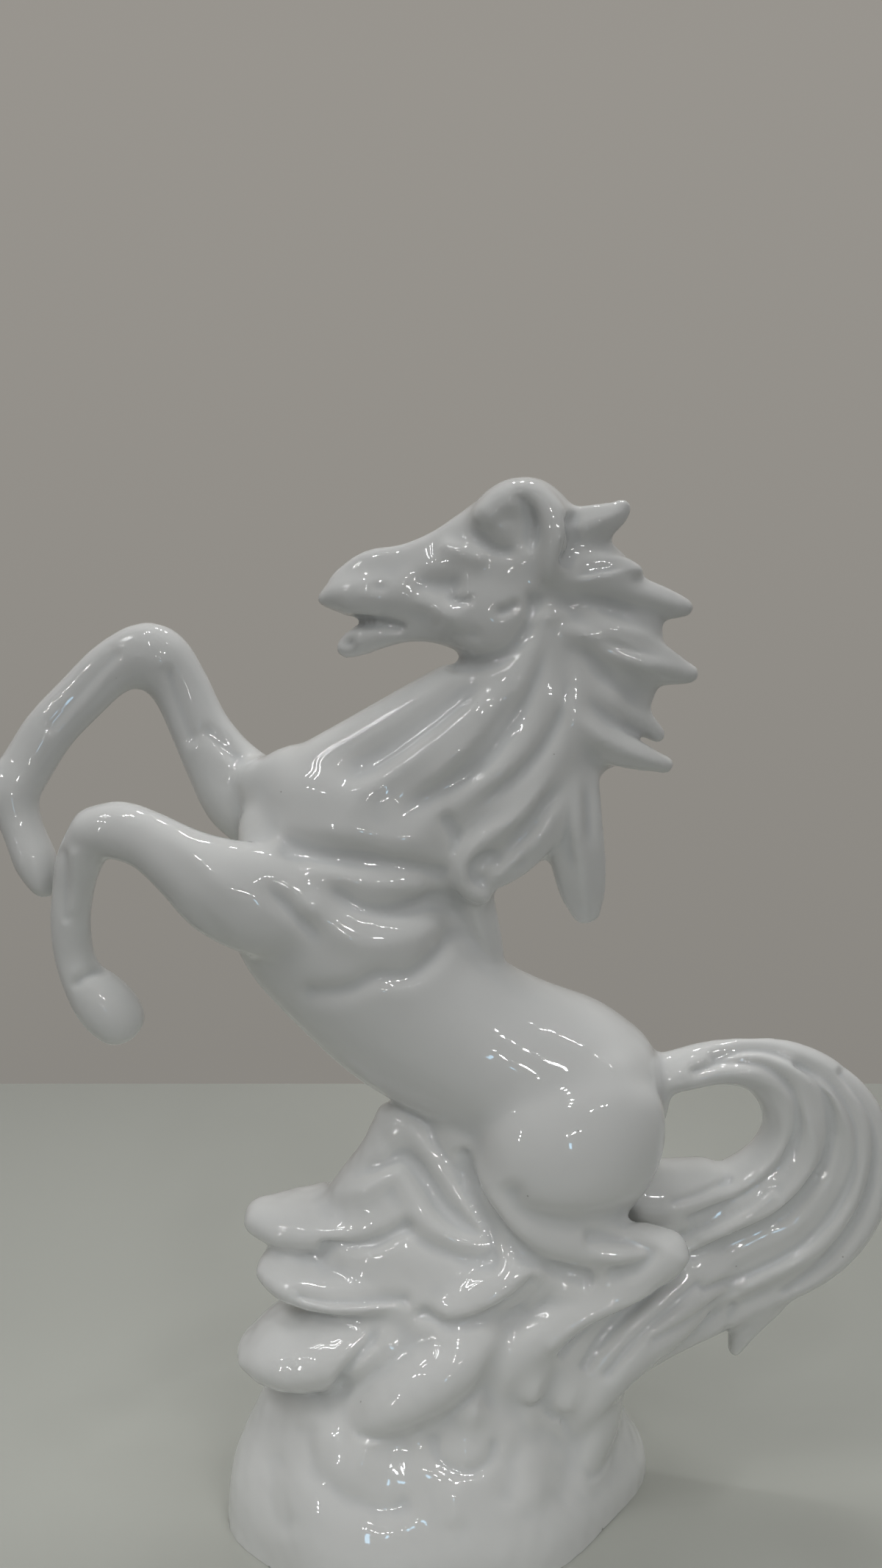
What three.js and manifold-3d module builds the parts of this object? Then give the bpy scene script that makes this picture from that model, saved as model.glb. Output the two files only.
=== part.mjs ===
import * as THREE from 'three';
import { mergeVertices } from 'three/addons/utils/BufferGeometryUtils.js';
import Module from 'manifold-3d';

// A glazed porcelain horse rearing over a rock, in millimetres. +Z is up, the horse faces -X and its
// left side looks along -Y. It is put together as the potter puts it together: each cast or pressed
// piece is luted onto the larger piece that carries it, with a hairline seam between the two.

const wasm = await Module();
wasm.setup();

// Seams, walls and the base
const SEAM = 0.3;
const BASE_LENGTH = 105;
const BASE_DEPTH = 86;
const BASE_SKEW = 0.25;
const MOUND_HEIGHT = 68;
const WALL = 4;
const FOOT_RING_WIDTH = 5.5;
const HOLLOW_HEIGHT = 34;
const RIPPLE_COUNT = 7;
const RIPPLE_HEIGHT = 1.1;
const PEAK_RISE = 29;

// The body
const CROUP_RISE = 30;
const CROUP_BACK = 47;
const LOIN_LENGTH = 38;
const BARREL_LENGTH = 37.5;
const CHEST_LENGTH = 39;
const BARREL_GIRTH = 21;
const CHEST_GIRTH = 25;
const HAUNCH_GIRTH = 22;
const HAUNCH_SPREAD = 11.5;

// The neck and the head
const NECK_LENGTH = 47;
const NAPE_LENGTH = 29;
const NECK_ROOT_GIRTH = 25;
const THROAT_GIRTH = 13.5;
const HEAD_LENGTH = 48.5;
const BROW_DEPTH = 15.5;
const MUZZLE_DEPTH = 8.5;
const CHEEK_RADIUS = 10;
const JAW_LENGTH = 28.5;
const JAW_DEPTH = 3.5;
const EAR_LENGTH = 11.5;

// The mane
const CREST_GIRTH = 9.5;
const LOCK_ROOT = 5.8;
const LOCK_TIP = 1.4;
const STRAND_GIRTH = 4.5;
const STRANDS_PER_SIDE = 3;

// The legs
const FOREARM_LENGTH = 54;
const LEFT_CANNON_LENGTH = 33;
const RIGHT_CANNON_LENGTH = 46;
const PASTERN_LENGTH = 21;
const SHOULDER_SPREAD = 12.5;
const FOREARM_GIRTH = 12;
const KNEE_GIRTH = 7;
const CANNON_GIRTH = 5.5;
const HOOF_GIRTH = 7;
const GASKIN_LENGTH = 34.5;
const HIND_CANNON_LENGTH = 50;
const GASKIN_GIRTH = 7;
const HIND_CANNON_GIRTH = 4.5;
const HOCK_SPREAD = 18.5;
const HIND_HOOF_SPREAD = 23;

// The tail
const TAIL_STRANDS = 5;
const TAIL_STRAND_GIRTH = 5.4;
const TAIL_HALF_WIDTH = 7;

// The ledges of the rock
const LEDGE_THICKNESS = 11;
const LEDGE_REACH = 46;

// How many sides the rolls of clay have
const BASE_SIDES = 30;
const BODY_SIDES = 14;
const LIMB_SIDES = 9;
const LOCK_SIDES = 7;
const FOLD_SIDES = 6;

const SIDEWAYS = new THREE.Vector3(0, 1, 0);

// A closed solid from rings of equal count, with a point at each end.
function skin(firstPole, rings, lastPole) {
  const count = rings[0].length;
  const points = [firstPole, ...rings.flat(), lastPole];
  const faces = [];
  const at = (ring, side) => 1 + ring * count + (side % count);
  for (let side = 0; side < count; side += 1) {
    faces.push(0, at(0, side + 1), at(0, side));
    for (let ring = 0; ring < rings.length - 1; ring += 1) {
      faces.push(at(ring, side), at(ring, side + 1), at(ring + 1, side + 1));
      faces.push(at(ring, side), at(ring + 1, side + 1), at(ring + 1, side));
    }
    faces.push(points.length - 1, at(rings.length - 1, side), at(rings.length - 1, side + 1));
  }
  const geometry = new THREE.BufferGeometry().setFromPoints(points);
  geometry.setIndex(faces);
  return solidOf(geometry);
}

function solidOf(geometry) {
  geometry.deleteAttribute('normal');
  geometry.deleteAttribute('uv');
  const merged = mergeVertices(geometry, 1e-5);
  return new wasm.Manifold(new wasm.Mesh({
    numProp: 3,
    vertProperties: new Float32Array(merged.attributes.position.array),
    triVerts: new Uint32Array(merged.index.array),
  }));
}

// One roll of clay: oval sections strung along a smooth spine and closed by rounded ends. A station
// is [x, y, z, depth, width]: half its size across the spine in the side view, and half its size
// from side to side.
function roll(stations, { sides, grow }) {
  const last = stations.length - 1;
  const places = stations.map(([x, y, z]) => new THREE.Vector3(x, y, z));
  const spine = new THREE.CatmullRomCurve3(places, false, 'centripetal');
  const sizes = stations.map(([, , , depth, width]) => new THREE.Vector3(depth, width, 0));
  const girth = new THREE.CatmullRomCurve3(sizes, false, 'catmullrom', 0.5);
  const ring = (t, push, scale) => {
    const tangent = spine.getTangent(t);
    const across = SIDEWAYS.clone().addScaledVector(tangent, -tangent.y).normalize();
    const over = new THREE.Vector3().crossVectors(tangent, across);
    const size = girth.getPoint(t);
    const centre = spine.getPoint(t).addScaledVector(tangent, push);
    return Array.from({ length: sides }, (_, side) => {
      const angle = (2 * Math.PI * side) / sides;
      return centre.clone()
        .addScaledVector(across, (size.y + grow) * scale * Math.cos(angle))
        .addScaledVector(over, (size.x + grow) * scale * Math.sin(angle));
    });
  };
  const capLength = (t) => 0.75 * Math.min(girth.getPoint(t).x, girth.getPoint(t).y) + grow;
  const pole = (t, push) => spine.getPoint(t).addScaledVector(spine.getTangent(t), push);
  const rings = [ring(0, -0.75 * capLength(0), 0.66)];
  stations.forEach((_, index) => rings.push(ring(index / last, 0, 1)));
  rings.push(ring(1, 0.75 * capLength(1), 0.66));
  return skin(pole(0, -capLength(0)), rings, pole(1, capLength(1)));
}

// The point a given length away, at an angle in degrees from +X towards +Z in the side view.
function reach(from, length, degrees, y = from[1]) {
  const angle = THREE.MathUtils.degToRad(degrees);
  return [from[0] + length * Math.cos(angle), y, from[2] + length * Math.sin(angle)];
}

// Stations between two landmarks. A section is [part of the way, depth, width, bow], and the bow
// moves it square to the line in the side view.
function along(from, to, sections) {
  const line = Math.hypot(to[0] - from[0], to[2] - from[2]);
  const square = [-(to[2] - from[2]) / line, (to[0] - from[0]) / line];
  return sections.map(([part, depth, width, bow = 0]) => [
    THREE.MathUtils.lerp(from[0], to[0], part) + bow * square[0],
    THREE.MathUtils.lerp(from[1], to[1], part),
    THREE.MathUtils.lerp(from[2], to[2], part) + bow * square[1],
    depth,
    width,
  ]);
}

// Stations written as distances from a landmark, on one hand of the horse.
function beside(landmark, stations, hand = 1) {
  return stations.map(([x, y, z, depth, width]) => (
    [landmark[0] + x, hand * y, landmark[2] + z, depth, width]));
}

function joined(solids) {
  return solids.reduce((whole, solid) => whole.add(solid));
}

// A piece that keeps its rolls, so that whatever is luted to it can be cut back by the seam.
function piece(rolls) {
  return {
    shape: joined(rolls.map((make) => make(0))),
    grown: joined(rolls.map((make) => make(SEAM))),
  };
}

// Cuts a piece back from those that were laid before it, and keeps the part that shows.
function luted(child, carriers) {
  const cut = carriers.reduce((shape, carrier) => shape.subtract(carrier.grown), child.shape);
  return cut.decompose().reduce((best, crumb) => (crumb.volume() > best.volume() ? crumb : best));
}

// Landmarks of the skeleton
const croup = [CROUP_BACK, 0, MOUND_HEIGHT + CROUP_RISE];
const loin = reach(croup, LOIN_LENGTH, 159);
const girthPoint = reach(loin, BARREL_LENGTH, 140);
const breast = reach(girthPoint, CHEST_LENGTH, 125.5);
const neckRoot = reach(girthPoint, CHEST_LENGTH * 0.74, 83);
const nape = reach(neckRoot, NECK_LENGTH, 47);
const poll = reach(nape, NAPE_LENGTH, 89);
const muzzle = reach([poll[0] + 2, 0, poll[2] + 5], HEAD_LENGTH, 192.5);
const jawHinge = [poll[0] - 11, 0, poll[2] - 12];
const chin = reach(jawHinge, JAW_LENGTH, 187);

// The hollow rock mound
function moundLevel(height, length, depth, x, y, inset, grow) {
  const turn = height / 17;
  return Array.from({ length: BASE_SIDES }, (_, side) => {
    const angle = (2 * Math.PI * side) / BASE_SIDES;
    const ripple = RIPPLE_HEIGHT * Math.cos(RIPPLE_COUNT * angle + turn) - RIPPLE_HEIGHT;
    const reachX = length / 2 + ripple - inset + grow;
    const reachY = depth / 2 + ripple - inset + grow;
    const out = reachY * Math.sin(angle);
    const skewed = x + reachX * Math.cos(angle) + BASE_SKEW * out;
    return new THREE.Vector3(skewed, y + out, height);
  });
}

// Each level is [part of the height, part of the length, part of the depth, x, y].
const MOUND_LEVELS = [
  [0, 1, 1, 0.5, -3],
  [0.12, 0.985, 0.98, 0.5, -3],
  [0.29, 0.89, 0.87, 1.5, -2.5],
  [0.47, 0.77, 0.74, 3, -1.5],
  [0.65, 0.68, 0.64, 2, -1],
  [0.82, 0.58, 0.53, 1, -1],
  [1, 0.42, 0.36, 1, 0],
];

function moundSolid(grow) {
  const rings = MOUND_LEVELS.map(([high, long, deep, x, y]) => (
    moundLevel(high * MOUND_HEIGHT, long * BASE_LENGTH, deep * BASE_DEPTH, x, y, 0, grow)));
  const [, , , topX, topY] = MOUND_LEVELS.at(-1);
  const foot = new THREE.Vector3(MOUND_LEVELS[0][3], MOUND_LEVELS[0][4], 0);
  return skin(foot, rings, new THREE.Vector3(topX, topY, MOUND_HEIGHT + 2 + grow));
}

function moundHollow() {
  const share = HOLLOW_HEIGHT / MOUND_HEIGHT;
  const rings = [-1, 0, 0.35, 0.75, 1].map((part) => {
    const high = Math.max(part, 0) * share;
    const index = MOUND_LEVELS.findLastIndex(([level]) => level <= high);
    const [from, to] = [MOUND_LEVELS[index], MOUND_LEVELS[index + 1]];
    const mix = (high - from[0]) / (to[0] - from[0]);
    const [, long, deep, x, y] = from.map((value, i) => THREE.MathUtils.lerp(value, to[i], mix));
    const inset = part <= 0 ? FOOT_RING_WIDTH : WALL + 4 * part * part;
    const level = moundLevel(high * MOUND_HEIGHT, long * BASE_LENGTH, deep * BASE_DEPTH, x, y, inset, 0);
    return part < 0 ? level.map((point) => point.clone().setZ(-1)) : level;
  });
  const [, , , x, y] = MOUND_LEVELS[2];
  return skin(new THREE.Vector3(x, y, -1), rings, new THREE.Vector3(x, y, HOLLOW_HEIGHT + 2));
}

const mound = {
  shape: moundSolid(0).subtract(moundHollow()),
  grown: moundSolid(SEAM),
};

// The trunk with both haunches, the breast, and the folds of muscle on each side of the chest
const CHEST_FOLDS = [
  [[4, 12, -9.5, 3, 4], [15, 15.5, -10.5, 4.5, 4.5], [27, 14.5, -12, 4.5, 4], [38, 11, -13, 3, 3]],
  [[6, 13, -18, 3.5, 5], [15, 16, -24, 4.5, 5], [26, 16, -26, 4.5, 5], [37, 13, -22, 3, 4]],
];

const trunk = piece([
  (grow) => roll([
    ...along(croup, loin, [
      [-0.1, 5, 8, 1], [0, 11, 15, 0], [0.18, 17, 19.5, 0.5], [0.42, 0.98 * HAUNCH_GIRTH, 21, 0.5],
      [0.82, BARREL_GIRTH, 20, 0.5],
    ]),
    ...along(loin, girthPoint, [[0.2, BARREL_GIRTH, 19, 0.5], [0.62, BARREL_GIRTH + 1, 19.5, 1.5]]),
    ...along(girthPoint, breast, [
      [0, CHEST_GIRTH - 0.5, 21, 0], [0.35, CHEST_GIRTH + 0.5, 21, 0], [0.7, 0.9 * CHEST_GIRTH, 18.5, 0],
      [0.92, 0.66 * CHEST_GIRTH, 14, 0], [1.06, 0.36 * CHEST_GIRTH, 8, 0],
    ]),
  ], { sides: BODY_SIDES, grow }),
  (grow) => roll(beside(breast, [
    [-4, 6, 10, 7, 7], [1.5, 4, 9, 11.5, 10], [10, 1, 6.5, 15, 14.5], [20, 0, 3.5, 19, 18],
  ]), { sides: LIMB_SIDES + 2, grow }),
  ...[-1, 1].flatMap((hand) => [
    (grow) => roll(along(
      [croup[0] - 7, hand * (HAUNCH_SPREAD - 2.5), croup[2] + 14],
      [croup[0] - 27.5, hand * (HAUNCH_SPREAD + 2.5), croup[2] - 17],
      [
        [0, 12, 11], [0.27, 0.87 * HAUNCH_GIRTH, 13, -1], [0.56, HAUNCH_GIRTH, 14, -1],
        [0.83, 0.88 * HAUNCH_GIRTH, 13, 0], [1, 13, 10, 1],
      ],
    ), { sides: LIMB_SIDES + 2, grow }),
    ...CHEST_FOLDS.map((fold) => (grow) => roll(beside(breast, fold, hand), { sides: FOLD_SIDES, grow })),
  ]),
]);

// The neck, from between the shoulders to the poll, with two long folds of muscle on each side
const NECK_FOLDS = [
  [[-12, 8.5, 11.5, 3, 4], [1.5, 14, 18.5, 4, 4.5], [13.5, 12, 27, 4, 4.5], [20.5, 8, 36.5, 3, 4]],
  [[-3.5, 15, 5.5, 3, 4], [10, 16, 12.5, 4, 4.5], [22, 13.5, 22, 4, 4.5], [30.5, 10, 36.5, 3, 4]],
];

const neckPiece = piece([
  (grow) => roll([
    ...along(neckRoot, nape, [
      [0, 0.88 * NECK_ROOT_GIRTH, 18, 0], [0.36, 0.96 * NECK_ROOT_GIRTH, 18, 1],
      [0.7, 0.86 * NECK_ROOT_GIRTH, 15.5, 0.5], [1, THROAT_GIRTH + 2, 12.5, 0],
    ]),
    ...along(nape, poll, [[0.5, THROAT_GIRTH, 10, -1.5], [1, THROAT_GIRTH - 2, 9, 0]]),
  ], { sides: BODY_SIDES, grow }),
  ...[-1, 1].flatMap((hand) => NECK_FOLDS.map((fold) => (grow) => (
    roll(beside(neckRoot, fold, hand), { sides: FOLD_SIDES, grow })))),
]);

// The head: one roll for the skull and muzzle, and a round plate for each cheek
const headPiece = piece([
  (grow) => roll(along([poll[0] + 2, 0, poll[2] + 5], muzzle, [
    [-0.02, 0.84 * BROW_DEPTH, 9.5, -1], [0.12, BROW_DEPTH + 0.5, 10.5, 1], [0.3, BROW_DEPTH - 0.5, 9.5, 2],
    [0.48, 0.74 * BROW_DEPTH, 8, 1.7], [0.64, MUZZLE_DEPTH + 0.5, 7, 0.5], [0.79, MUZZLE_DEPTH, 7.5, -1.2],
    [0.93, 0.65 * MUZZLE_DEPTH, 6.5, -1], [1.03, 2, 3.5, -0.5],
  ]), { sides: LIMB_SIDES + 2, grow }),
  ...[-1, 1].map((hand) => (grow) => roll(beside(poll, [
    [-18, 6, -9, 0.45 * CHEEK_RADIUS, 4], [-13, 7, -9, 0.9 * CHEEK_RADIUS, 5],
    [-7, 7.5, -9, 1.1 * CHEEK_RADIUS, 5], [-1, 7, -7, 0.85 * CHEEK_RADIUS, 4.5],
  ], hand), { sides: LOCK_SIDES, grow })),
]);

// The lower jaw, open a little, with a full lower lip
const jawPiece = piece([
  (grow) => roll(along(jawHinge, chin, [
    [0, 1.7 * JAW_DEPTH, 7, 0.5], [0.31, 1.3 * JAW_DEPTH, 6, -1.4], [0.55, 1.15 * JAW_DEPTH, 5.5, -1.7],
    [0.77, 1.35 * JAW_DEPTH, 5.5, -0.5], [0.95, 1.4 * JAW_DEPTH, 5.3, 0.6], [1.07, JAW_DEPTH, 4.2, 2],
  ]), { sides: LIMB_SIDES, grow }),
]);

// The forelock, swept back over the poll
const forelock = piece([
  (grow) => roll(beside(poll, [
    [7.5, 0, 11.5, 6, 9], [3, -1, 15.5, 6, 9], [-1.5, -3, 16, 5.5, 8.5], [-6, -5, 14.5, 4.5, 7.5],
    [-9.5, -6, 12.5, 2.5, 5.5],
  ]), { sides: LIMB_SIDES, grow }),
]);

// The ears, laid back against the mane
const earPieces = [-1, 1].map((hand) => piece([
  (grow) => roll(along(
    [poll[0] + 4, hand * 8, poll[2] + 14.5],
    reach([poll[0] + 4, 0, poll[2] + 14.5], EAR_LENGTH, -70, hand * 11.5),
    [[0, 3, 4, 0], [0.4, 3, 4, 0.5], [0.72, 2, 3.5, 0.5], [1, 1, 2, 0]],
  ), { sides: LOCK_SIDES, grow }),
]));

// The crest of the mane: a web along the neck that ends in a bed for the curls, a thin veil behind it,
// and locks that fly out. Each lock is [how far down the web, length, angle, bow, y].
const CREST_LOCKS = [
  [0.02, 21, 22, 1, -1.5],
  [0.16, 21, 4, -1, -3.5],
  [0.24, 29, -6, 0.5, 0],
  [0.4, 32, -17, 1.5, -2],
  [0.56, 27, -35, -1, 1],
  [0.68, 31, -29, -2.5, -3],
];

const crestLine = new THREE.CatmullRomCurve3([
  [6, 8], [13, 1], [17, -14], [17.5, -27], [15.5, -39], [11, -50], [9.5, -62],
].map(([x, z]) => new THREE.Vector3(poll[0] + x, 0, poll[2] + z)), false, 'centripetal');

const crest = piece([
  (grow) => roll([0.8, 0.85, 1, 1, 0.85, 0.62, 0.48].map((share, i, all) => {
    const place = crestLine.getPoint(i / (all.length - 1));
    return [place.x, 0, place.z, share * CREST_GIRTH, 0.9 * share * CREST_GIRTH];
  }), { sides: LIMB_SIDES, grow }),
  (grow) => roll(beside(poll, [
    [11, 0, 7, 5, 4.5], [18.5, -1, 1, 6.5, 4.5], [23.5, -1, -8, 8, 4.5], [25, -1, -20, 8.5, 4.5],
    [22, 0, -31, 8, 4.5], [17.5, 0, -42, 6.5, 4.5],
  ]), { sides: LOCK_SIDES, grow }),
  (grow) => roll(beside(neckRoot, [
    [7.5, 0, 1.5, 13, 13], [18.5, 0, 0, 12, 12.5], [26.5, 0, -1, 10, 10], [34.5, 0, 3.5, 8, 8],
    [40.5, 0, 11.5, 7, 7],
  ]), { sides: LIMB_SIDES, grow }),
  ...CREST_LOCKS.map(([part, length, angle, bow, y]) => (grow) => {
    const root = crestLine.getPoint(part);
    const from = [root.x - 3, y * 0.5, root.z];
    return roll(along(from, reach(from, length, angle, y), [
      [0, LOCK_ROOT, 7.5, 0], [0.4, LOCK_ROOT, 6.5, bow], [0.72, 0.7 * LOCK_ROOT, 5, bow],
      [0.92, 2, 3.5, 0.3 * bow], [1, LOCK_TIP, 2.5, 0],
    ]), { sides: LOCK_SIDES, grow });
  }),
]);

// The strands that lie along each side of the neck, spread evenly between two lines from the nape
const STRAND_FRONT = [[0, 9, 15], [-1.5, 10.5, 5], [-7.5, 13, -5], [-16.5, 14.5, -14], [-24.5, 15, -20.5]];
const STRAND_REAR = [[11.5, 5, 10], [11.5, 7.5, -1], [7.5, 10, -12], [0, 12, -21], [-9.5, 13, -27.5]];
const STRAND_TAPER = [0.7, 1, 1, 1, 0.6];

function neckStrand(hand, share) {
  return beside(nape, STRAND_FRONT.map((front, i) => [
    ...front.map((value, axis) => THREE.MathUtils.lerp(value, STRAND_REAR[i][axis], share)),
    STRAND_TAPER[i] * STRAND_GIRTH,
    STRAND_GIRTH,
  ]), hand);
}

function maneSide(hand) {
  return piece(Array.from({ length: STRANDS_PER_SIDE }, (_, i) => (grow) => (
    roll(neckStrand(hand, i / (STRANDS_PER_SIDE - 1)), { sides: LOCK_SIDES, grow }))));
}

const dropLock = piece([
  (grow) => roll(beside(nape, [
    [7.5, -4, -14.5, 6.5, 7], [10.5, -3, -26.5, 7, 7.5], [13, -2, -37.5, 6.5, 6.5], [15, -1, -46.5, 4.8, 5],
    [17, 0, -52, 2.4, 3],
  ]), { sides: LIMB_SIDES, grow }),
  (grow) => roll(beside(nape, [
    [9.5, -8, 0, 4.5, 6], [13.5, -8, -10, 4.5, 6], [16, -7, -21.5, 3.5, 5.5], [16.5, -6, -30.5, 2.5, 4.5],
    [16.5, -5, -36.5, 1.2, 3],
  ]), { sides: LOCK_SIDES, grow }),
]);

// The curls in which the mane ends on each side of the chest: one over the other round a small hollow
const UPPER_CURL = [
  [41.5, 7.5, 25.5, 5.5, 6], [38, 9, 16, 6, 6.5], [31.5, 10.5, 9, 5.5, 6], [25, 12, 5, 4.5, 5.5],
  [19, 13, 1, 3.5, 4.5], [16, 13, -4.5, 3, 3.5], [17.5, 12.5, -10, 2.5, 3],
];
const LOWER_CURL = [
  [40.5, 6, 7.5, 5, 6], [36, 7.5, 0.5, 5, 6], [30.5, 9, -4.5, 4.5, 5.5], [24.5, 11, -8, 3.5, 5],
  [20, 12, -12, 2.2, 3.5],
];

function curl(hand) {
  return piece([UPPER_CURL, LOWER_CURL].map((band) => (grow) => (
    roll(beside(neckRoot, band, hand), { sides: LOCK_SIDES, grow }))));
}

const witherLock = piece([
  (grow) => roll(beside(neckRoot, [
    [20, -2, -9.5, 5.5, 9], [22.5, -2, -18.5, 5, 7], [25.5, -1, -27.5, 3.5, 5], [28, 0, -35, 1.5, 3],
  ]), { sides: LOCK_SIDES, grow }),
]);

// The left foreleg: a forearm that is held out, and a cannon that hangs from the bent knee to the hoof
const leftShoulder = [girthPoint[0] - 12, -SHOULDER_SPREAD, girthPoint[2] + 15];
const leftKnee = reach(leftShoulder, FOREARM_LENGTH, 160.5);
const leftFetlock = reach(leftKnee, LEFT_CANNON_LENGTH, 257, -9);
const leftToe = reach(leftFetlock, PASTERN_LENGTH - 2.5, 299, -8);

const leftForeleg = piece([
  (grow) => roll(along(leftShoulder, leftKnee, [
    [0, 0.88 * FOREARM_GIRTH, 9, 0], [0.2, 1.08 * FOREARM_GIRTH, 10, 2], [0.41, FOREARM_GIRTH, 9.5, 2],
    [0.6, 1.2 * KNEE_GIRTH, 8, -1], [0.76, KNEE_GIRTH, 7, -3], [0.89, KNEE_GIRTH, 7, -2.8],
    [1.02, 0.8 * KNEE_GIRTH, 6.5, 0],
  ]), { sides: LIMB_SIDES, grow }),
  (grow) => roll([
    ...along(leftKnee, leftFetlock, [
      [-0.04, 0.86 * KNEE_GIRTH, 6.5, 1], [0.19, CANNON_GIRTH, 6, -2],
      [0.44, 0.92 * CANNON_GIRTH, 5.5, -2.7], [0.69, 0.9 * CANNON_GIRTH, 5, -1.8],
      [0.9, 0.9 * CANNON_GIRTH, 5.2, -0.3],
    ]),
    ...along(leftFetlock, leftToe, [
      [0.18, 0.92 * CANNON_GIRTH, 5.5, 0.5], [0.45, 0.94 * HOOF_GIRTH, 6.5, 1], [0.73, HOOF_GIRTH, 7, 1.6],
      [0.97, 0.9 * HOOF_GIRTH, 7, 2],
    ]),
  ], { sides: LIMB_SIDES, grow }),
]);

// The right foreleg: raised higher, and bent back over its knee
const rightShoulder = [girthPoint[0] - 21.5, SHOULDER_SPREAD, girthPoint[2] + 30];
const rightKnee = reach(rightShoulder, FOREARM_LENGTH, 127);
const rightFetlock = reach(rightKnee, RIGHT_CANNON_LENGTH, 225, 3.5);
const rightToe = reach(rightFetlock, PASTERN_LENGTH, 284, 0.5);

const rightForeleg = piece([
  (grow) => roll([
    ...along(rightShoulder, rightKnee, [
      [0, 0.92 * FOREARM_GIRTH, 9, 0], [0.24, 0.96 * FOREARM_GIRTH, 9, 3], [0.44, 1.3 * KNEE_GIRTH, 8, 3.3],
      [0.62, 1.07 * KNEE_GIRTH, 7, 2], [0.82, 1.07 * KNEE_GIRTH, 7, -0.5], [1, 1.2 * KNEE_GIRTH, 7.5, 0],
    ]),
    ...along(rightKnee, rightFetlock, [
      [0.18, KNEE_GIRTH, 6.5, -4.2], [0.42, 1.18 * CANNON_GIRTH, 6, -4.6],
      [0.65, 1.18 * CANNON_GIRTH, 6, -4.2], [0.88, 1.18 * CANNON_GIRTH, 6, -1.8],
    ]),
    ...along(rightFetlock, rightToe, [
      [0.08, 0.93 * HOOF_GIRTH, 6.5, 0.5], [0.45, 0.93 * HOOF_GIRTH, 7, 0], [0.8, 0.8 * HOOF_GIRTH, 7, 1],
      [1.06, 0.45 * HOOF_GIRTH, 5, 1.7],
    ]),
  ], { sides: LIMB_SIDES, grow }),
]);

// The hind legs: a folded gaskin, a cannon that runs forward and widens into the hoof on the rock, and
// the fold between the two
function hindLeg(hand) {
  const stifle = [croup[0] - 25.5, hand * 15, croup[2] - 17];
  const hock = reach(stifle, GASKIN_LENGTH, -22.5, hand * HOCK_SPREAD);
  const hoof = reach(hock, HIND_CANNON_LENGTH, 214, hand * HIND_HOOF_SPREAD);
  return piece([
    (grow) => roll(along(stifle, hock, [
      [0, 1.65 * GASKIN_GIRTH, 9.5, -1], [0.28, 1.2 * GASKIN_GIRTH, 8, -3.5], [0.57, GASKIN_GIRTH, 6.5, -3],
      [0.83, 0.93 * GASKIN_GIRTH, 6, -1], [1.02, 0.8 * GASKIN_GIRTH, 5.5, 1],
    ]), { sides: LIMB_SIDES, grow }),
    (grow) => roll(along(hock, hoof, [
      [0, 1.2 * HIND_CANNON_GIRTH, 5.5, 0], [0.16, 0.96 * HIND_CANNON_GIRTH, 4.8, 0.4],
      [0.33, 0.85 * HIND_CANNON_GIRTH, 4.3, -0.5], [0.51, 0.96 * HIND_CANNON_GIRTH, 4.5, -1.9],
      [0.69, 1.2 * HIND_CANNON_GIRTH, 5, -2.4], [0.85, 1.55 * HIND_CANNON_GIRTH, 5.5, -1.8],
      [1, 1.8 * HIND_CANNON_GIRTH, 6, -0.4], [1.1, 1.55 * HIND_CANNON_GIRTH, 6, 2.8],
    ]), { sides: LIMB_SIDES, grow }),
    (grow) => roll(beside(stifle, [
      [0.5, 15, -18, 8, 7], [8.5, 16, -18.5, 7.5, 6.5], [15.5, 17, -17, 6.5, 5.5], [24.5, 17.5, -15, 4, 4.5],
    ], hand), { sides: LOCK_SIDES, grow }),
  ]);
}

// The tail: strands spread evenly between an inner and an outer line, arching out from the rump and
// sweeping back under the hocks into the rock. The lines are drawn from the croup.
const TAIL_INNER = [
  [3, 6], [14, 7.5], [23, 9], [31, 7], [36, 1.5], [38, -6], [35.5, -13.5], [28.5, -20], [19, -24], [9, -29],
  [0, -37],
];
const TAIL_OUTER = [
  [6, 7], [22, 12], [37.5, 12], [49, 7], [58, -2.5], [61.5, -15], [59, -28], [50, -40], [31, -50.5],
  [9, -62], [-8, -73],
];
const TAIL_ROOT = [[0, 0, -23, 8, 10], [10, 0, -23, 7.5, 10], [20, 0, -21, 6, 9]];
const TAIL_DEPTHS = [1, 0.85, 0.85, 0.9, 0.95, 1, 1.1, 1.2, 1.2, 1, 0.9];
const TAIL_WIDTHS = [1, 0.9, 0.9, 0.9, 0.95, 1, 1.1, 1.2, 1.3, 1.5, 1.7];

function tailStrand(share, grow) {
  const sway = Math.cos(Math.PI * share * (TAIL_STRANDS - 1));
  return roll(beside(croup, TAIL_INNER.map(([x, z], i) => [
    THREE.MathUtils.lerp(x, TAIL_OUTER[i][0], share),
    sway * Math.min(1, i / 3),
    THREE.MathUtils.lerp(z, TAIL_OUTER[i][1], share),
    TAIL_DEPTHS[i] * TAIL_STRAND_GIRTH * THREE.MathUtils.lerp(0.85, 1, share),
    TAIL_WIDTHS[i] * TAIL_HALF_WIDTH * THREE.MathUtils.lerp(1, 0.9, share),
  ])), { sides: LOCK_SIDES, grow });
}

const tail = piece([
  ...Array.from({ length: TAIL_STRANDS }, (_, i) => (grow) => tailStrand(i / (TAIL_STRANDS - 1), grow)),
  (grow) => roll(beside(croup, TAIL_ROOT), { sides: LOCK_SIDES, grow }),
]);

const tailLock = piece([
  (grow) => roll(beside(croup, [
    [41, 0, -44, 5, 6], [35, 0, -51.5, 5.5, 6], [30.5, 0, -59, 4, 5], [28, 0, -66.5, 1.8, 3],
  ]), { sides: LOCK_SIDES, grow }),
]);

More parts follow.
